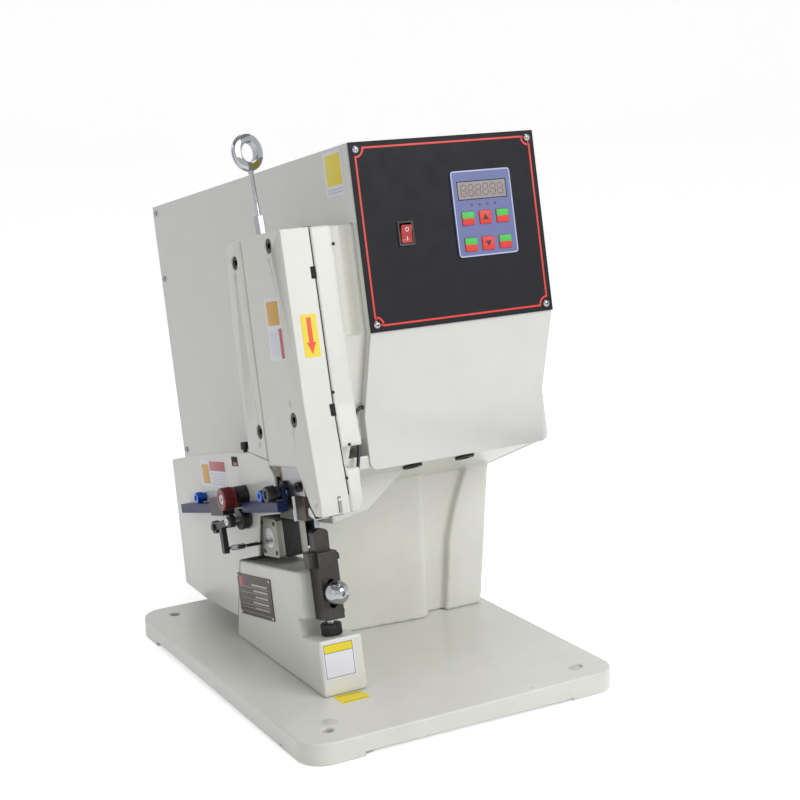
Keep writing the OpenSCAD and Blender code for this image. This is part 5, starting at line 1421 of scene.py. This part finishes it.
@dataclass
class Feed:
    """The tape feed in front of its housing: knobs, bar, lever, spring and motor."""

    skins: tuple[Skin, ...] = (
        Skin("guide_bar", "tape_bar", "blue_anodised", "machine", 0.7, 3.0, "blue_anodised"),
        Skin("guide_clamp", "bar_clamp", "black_oxide", "machine", 0.8, 3.0, "black_plastic"),
        Skin("pinch_lever", "pinch_arm", "black_oxide", "lever", 0.6, 2.0, "dark_steel"))
    thumbscrews: tuple[Thumbscrew, ...] = (
        Thumbscrew("rear_grip", "guide_screw_rear", "rear_thumbscrew", (120.0, 0.0), 6.0, 12.0,
                   "blue_bright", -113.3),
        Thumbscrew("front_grip", "guide_screw_front", "front_thumbscrew", (-66.0, 0.0), 6.0, 12.0,
                   "blue_bright", -113.3),
        Thumbscrew("stop_grip", "stop_screw", "stop_thumbscrew", (-100.0, 2.3), 8.1, 15.0,
                   "black_plastic", -117.3))
    knob_at: Point = (-127.0, 0.0, 0.0)
    knob: Outline = (
        (0.0, 4.1), (0.0, 11.2), (-0.6, 11.9), (-2.6, 11.9), (-3.0, 11.3), (-3.6, 11.3),
        (-4.0, 11.9), (-14.2, 11.9), (-15.0, 11.0), (-15.0, 6.2), (-14.0, 5.4))
    boss: Outline = ((-13.2, 5.5), (-14.4, 5.4), (-14.8, 4.4), (-14.6, 2.6), (-13.4, 2.2),
                     (-13.2, 0.0))
    recess: Outline = ((-13.5, 2.3), (-13.9, 2.0), (-13.8, 0.0))
    knurl_x: float = -136.1
    knurl_r: float = 11.85
    knurl_count: int = 60
    wheel_at: Point = (-120.0, 0.0, -24.3)
    wheel: Outline = ((-5.0, 6.0), (-5.0, 10.6), (-4.2, 11.4), (-1.2, 11.4), (-0.8, 10.9),
                      (3.2, 10.9), (3.6, 11.4), (4.3, 11.4), (5.0, 10.8), (5.0, 2.5))
    axle: Outline = ((5.0, 2.4), (-18.0, 2.4), (-17.3, 4.3), (-19.4, 4.3), (-20.0, 3.7),
                     (-20.0, 1.6), (-19.2, 1.4), (-19.2, 0.0))
    spring_hook: Point = (-127.5, 28.0, -55.0)
    spring_stud: Point = (-127.5, -14.0, -52.0)
    spring_r: float = 2.6
    spring_wire_r: float = 0.45
    spring_curls: int = 10
    spring_steps: int = 16
    spring_inset: float = 4.4
    loop_r: float = 2.3
    loop_turn: float = 200.0
    loop_steps: int = 8
    motor_at: tuple[float, float] = (-33.0, 157.0)
    motor_half: float = 21.1
    motor_caps: tuple[Point, ...] = ((-109.0, -101.0), (-82.5, -75.0))
    sheets: int = 9
    sheet_pitch: float = 2.06
    sheet_thick: float = 1.9
    pilot: Outline = ((0.0, 11.0), (-0.3, 10.6), (-0.35, 3.0), (-0.1, 2.6), (-0.1, 0.0))
    screw: Outline = ((0.3, 2.6), (-0.3, 2.6), (-0.5, 2.3), (-0.45, 1.2), (0.1, 1.1))
    screw_half: float = 15.5

    def build(self) -> None:
        """Makes the feed's visible pieces."""
        for piece in (*self.skins, *self.thumbscrews):
            piece.build()
        self._red_knob()
        wheel = Piece("pinch_roller_wheel", FEED.copy()).use("black_oxide")
        wheel.lathe(Axis.X, self.wheel_at, self.wheel, 56)
        wheel.use("turned_steel").lathe(Axis.X, self.wheel_at, self.axle, 36)
        wheel.finish("pinch_roller", ["pinch_wheel"], "dark_steel")
        self._spring()
        self._motor()

    def _red_knob(self) -> None:
        """Adds the red feed knob with its bright boss, hexagonal recess and knurl."""
        knob = Piece("feed_grip", FEED.copy()).use("red_anodised")
        knob.lathe(Axis.X, self.knob_at, self.knob, 72)
        knob.use("turned_steel").lathe(Axis.X, self.knob_at, self.boss, 40)
        # The hexagonal recess is a flat black patch of painted shade.
        knob.use("shadow_gap").lathe(Axis.X, self.knob_at, self.recess, 6)
        knob.finish("feed_roller", ["feed_knob"], "red_knob")
        rib = Piece("rib").block((-0.2, -0.3, -5.0), (0.5, 0.3, 5.0), 0.12, 0.12, Axis.Z)
        ring = Repeat(rib, "red_anodised", around(Axis.X, (self.knurl_x, 0, 0), FEED))
        adopt(ring.ring(self.knurl_count, self.knurl_r), "feed_grip_knurl", "feed_roller")

    def _spring(self) -> None:
        """Winds the pinch spring, with a loop over each stud."""
        hook, stud, across = Vector(self.spring_hook), Vector(self.spring_stud), Vector((1, 0, 0))
        span, way = (hook - stud).length, (hook - stud).normalized()
        up = across.cross(way)
        turns = [math.radians(self.loop_turn * k / self.loop_steps)
                 for k in range(self.loop_steps + 1)]
        route = [stud + self.loop_r * (math.cos(a) * way - math.sin(a) * up)
                 for a in reversed(turns)]
        count = self.spring_curls * self.spring_steps
        for i in range(count + 1):
            a = 2 * math.pi * i / self.spring_steps
            s = self.spring_inset + (span - 2 * self.spring_inset) * i / count
            route.append(stud + way * s + self.spring_r * (math.cos(a) * across + math.sin(a) * up))
        route += [hook + self.loop_r * (math.cos(a) * -way + math.sin(a) * up) for a in turns]
        spring = Piece("pinch_spring_wire", FEED.copy()).use("polished")
        spring.tube(route, self.spring_wire_r, 8)
        obj = spring.finish(None, ["pinch_spring"], "bright_steel")
        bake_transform(obj)

    def _motor(self) -> None:
        """Adds the feed motor: black laminations between two grey caps with corner screws."""
        (v, w), half = self.motor_at, self.motor_half
        square = rect(v - half, w - half, v + half, w + half)
        motor = Piece("feed_motor_case").use("motor_cap")
        for low, high in self.motor_caps:
            motor.prism(Axis.X, low, high, offset(square, 0.4), 0.5, 3.4)
        motor.use("black_oxide")
        face, back = self.motor_caps[0]
        for i in range(self.sheets):
            x = back + i * self.sheet_pitch
            inset = 0.0 if i % 2 else 0.12
            motor.prism(Axis.X, x, x + self.sheet_thick, offset(square, inset), 0.15, 2.4)
        motor.use("turned_steel").lathe(Axis.X, (face, v, w), self.pilot, 40)
        motor.finish("machine", ["feed_motor"], "feed_motor_case")
        screw = Piece("screw").lathe(Axis.X, (0, 0, 0), self.screw, 20)
        spots = [(face - 0.1, v + sv * self.screw_half, w + sw * self.screw_half)
                 for sv in (-1, 1) for sw in (-1, 1)]
        adopt(Repeat(screw, "black_oxide").spots(spots), "feed_motor_screws", "machine")


@dataclass
class Eye:
    """The bright eye on its rod above the head."""

    height: float = 83.0
    twist: float = math.radians(18.0)
    rod: Outline = ((7.0, 2.4), (19.2, 2.4), (61.0, 2.4), (64.0, 3.2), (66.5, 3.2))
    ring: Outline = (
        (-4.0, 11.2), (-3.4, 17.6), (-2.6, 18.7), (-1.0, 19.0), (-0.7, 18.4), (0.7, 18.4),
        (1.0, 19.0), (2.6, 18.7), (3.4, 17.6), (4.0, 11.2), (3.2, 10.1), (0.0, 9.85), (-3.2, 10.1))

    def build(self) -> None:
        """Turns the eye's rod and its grooved ring."""
        eye = Piece("wire_eye", EYE.copy()).use("polished").lathe(Axis.Z, (0, 0, 0), self.rod, 32)
        eye.at(Matrix.Translation((0, 0, self.height)) @ Matrix.Rotation(self.twist, 4, "Z"))
        eye.lathe(Axis.Y, (0, 0, 0), self.ring, 80, closed=True)
        eye.finish("eye", ["guide_ring"], "bright_steel")


@dataclass
class Lead:
    """The short black lead from the cabinet to the nose."""

    radius: float = 1.8
    route: tuple[Point, ...] = (
        (-26, -128, 284), (-31, -128, 284), (-36, -128.6, 281), (-39, -129.4, 274),
        (-40, -130, 265), (-40, -131, 254), (-41, -133, 244), (-44, -135, 233), (-48, -138, 222),
        (-53, -141, 213), (-58, -145, 207), (-61, -148, 205), (-63.4, -149.8, 205))
    cuts: int = 4

    def build(self) -> None:
        """Sweeps the lead along a smooth curve through its route."""
        points = [Vector(p) for p in self.route]
        smooth: list[Vector] = []
        for i in range(len(points) - 1):
            p0, p1, p2, p3 = (points[max(0, min(len(points) - 1, i + k))] for k in (-1, 0, 1, 2))
            for k in range(self.cuts):
                t = k / self.cuts
                smooth.append(0.5 * (2 * p1 + (p2 - p0) * t
                                     + (2 * p0 - 5 * p1 + 4 * p2 - p3) * t * t
                                     + (3 * p1 - p0 - 3 * p2 + p3) * t ** 3))
        smooth.append(points[-1])
        lead = Piece("nose_lead").use("lead_skin").tube(smooth, self.radius, 20)
        obj = lead.finish("machine", ["sensor_lead"], "black_rubber")


@dataclass(frozen=True)
class SoftBox:
    """A square area light aimed at the machine, in metres and watts.

    Attributes:
        name: Name of the light.
        spot: Its place.
        power: Its power.
        size: Its side.
    """

    AIM_M = (0.0, 0.0, 0.3)

    name: str
    spot: Point
    power: float
    size: float

    def build(self) -> None:
        """Hangs the light."""
        data = bpy.data.lights.new(self.name, "AREA")
        data.energy, data.size = self.power, self.size
        light = bpy.data.objects.new(self.name, data)
        light.location = self.spot
        way = Vector(self.AIM_M) - Vector(self.spot)
        light.rotation_euler = way.to_track_quat("-Z", "Y").to_euler()
        bpy.context.scene.collection.objects.link(light)


@dataclass
class Studio:
    """Camera, lights and the pale floor."""

    camera_at_m: Point = (-0.7688, -1.5198, 0.6549)
    azimuth: float = math.radians(28.52)
    down: float = math.radians(12.07)
    roll: float = math.radians(-2.29)
    lens: float = 73.11
    sensor: float = 36.0
    sky: float = 0.4
    boxes: tuple[SoftBox, ...] = (
        SoftBox("key", (1.1, -2.3, 1.7), 38.0, 1.6), SoftBox("side", (-2.4, -1.0, 1.2), 2.0, 1.4),
        SoftBox("top", (0.2, 0.2, 2.6), 17.0, 1.8))
    floor_m: Outline = ((0.02, 0.0), (1.5, 0.0), (4.0, 0.0), (5.2, 0.25), (6.0, 1.0), (6.4, 2.4),
                        (6.5, 5.0))
    floor_sides: int = 64

    def build(self) -> None:
        """Sets up everything that isn't part of the object."""
        self._camera()
        self._floor()
        world = bpy.data.worlds.new("studio")
        world.use_nodes = True
        background = world.node_tree.nodes["Background"]
        background.inputs["Color"].default_value = (1.0, 1.0, 1.0, 1.0)
        background.inputs["Strength"].default_value = self.sky
        bpy.context.scene.world = world
        for box in self.boxes:
            box.build()
        bpy.context.scene.view_settings.view_transform = "Standard"

    def _camera(self) -> None:
        """Places the camera at the photograph's viewpoint."""
        az, down, roll = self.azimuth, self.down, self.roll
        forward = Vector((math.sin(az) * math.cos(down), math.cos(az) * math.cos(down),
                          -math.sin(down)))
        level = Vector((math.cos(az), -math.sin(az), 0.0))
        upright = level.cross(forward)
        right = level * math.cos(roll) + upright * math.sin(roll)
        up = upright * math.cos(roll) - level * math.sin(roll)
        data = bpy.data.cameras.new("camera")
        data.lens, data.sensor_width = self.lens, self.sensor
        camera = bpy.data.objects.new("camera", data)
        bpy.context.scene.collection.objects.link(camera)
        matrix = Matrix((right, up, -forward)).transposed().to_4x4()
        matrix.translation = Vector(self.camera_at_m)
        camera.matrix_world = matrix
        bpy.context.scene.camera = camera

    def _floor(self) -> None:
        """Adds a floor that curves up into a backdrop all round."""
        bm = bmesh.new()
        count = self.floor_sides
        rings = [[bm.verts.new((radius * math.cos(t), radius * math.sin(t), height))
                  for t in (2 * math.pi * k / count for k in range(count))]
                 for radius, height in self.floor_m]
        for low, high in zip(rings, rings[1:]):
            for i in range(count):
                j = (i + 1) % count
                bm.faces.new((low[i], low[j], high[j], high[i]))
        bm.faces.new(rings[0])
        mesh = bpy.data.meshes.new("floor")
        bm.to_mesh(mesh)
        bm.free()
        mesh.materials.append(PAINT.get("floor"))
        mesh.polygons.foreach_set("use_smooth", [True] * len(mesh.polygons))
        floor = bpy.data.objects.new("floor", mesh)
        bpy.context.scene.collection.objects.link(floor)


@dataclass
class CarriedNodes:
    """The CAD nodes that keep their own shape and get a finish."""

    smooth: float = 30.0
    finishes: tuple[tuple[str, str], ...] = (
        ("black_oxide", "frame_bolts head_bolts ram_screws lock_screws feed_shaft"),
        ("bronze", "ram_gibs"), ("ground_steel", "crimp_punch feed_bracket ring_coupling"),
        ("sheet_enamel", "cabinet_shell rear_panel"), ("black_plastic", "rear_sockets"),
        ("polished", "cabinet_screws crank_bearings crank_roller"), ("black_film", "control_panel"),
        ("module_film", "counter_module"), ("display", "display_window"),
        ("board_green", "controller_board"), ("motor_grey", "drive_motor"),
        ("turned_steel", "motor_pulley driven_pulley crankshaft feed_motor_pulley"),
        ("rubber", "drive_belt feed_belt grommets"))

    def build(self) -> None:
        """Paints and shades the nodes."""
        for finish, nodes in self.finishes:
            for node in nodes.split():
                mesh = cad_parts[node].data
                mesh.materials.clear()
                mesh.materials.append(PAINT.get(finish))
                shade(mesh, self.smooth)
                LOG.info("%s: kept from the frame", node)


def main() -> None:
    """Builds the studio, the lead and each sub-assembly in order."""
    for part in (Studio(), Lead(), CarriedNodes(), Base(), Frame(), Head(), Cabinet(), Panel(),
                 Anvil(), Feed(), Eye()):
        LOG.info("building %s", type(part).__name__)
        part.build()


if __name__ == "__main__":
    logging.basicConfig(level=logging.INFO, format="%(asctime)s %(message)s")
    main()
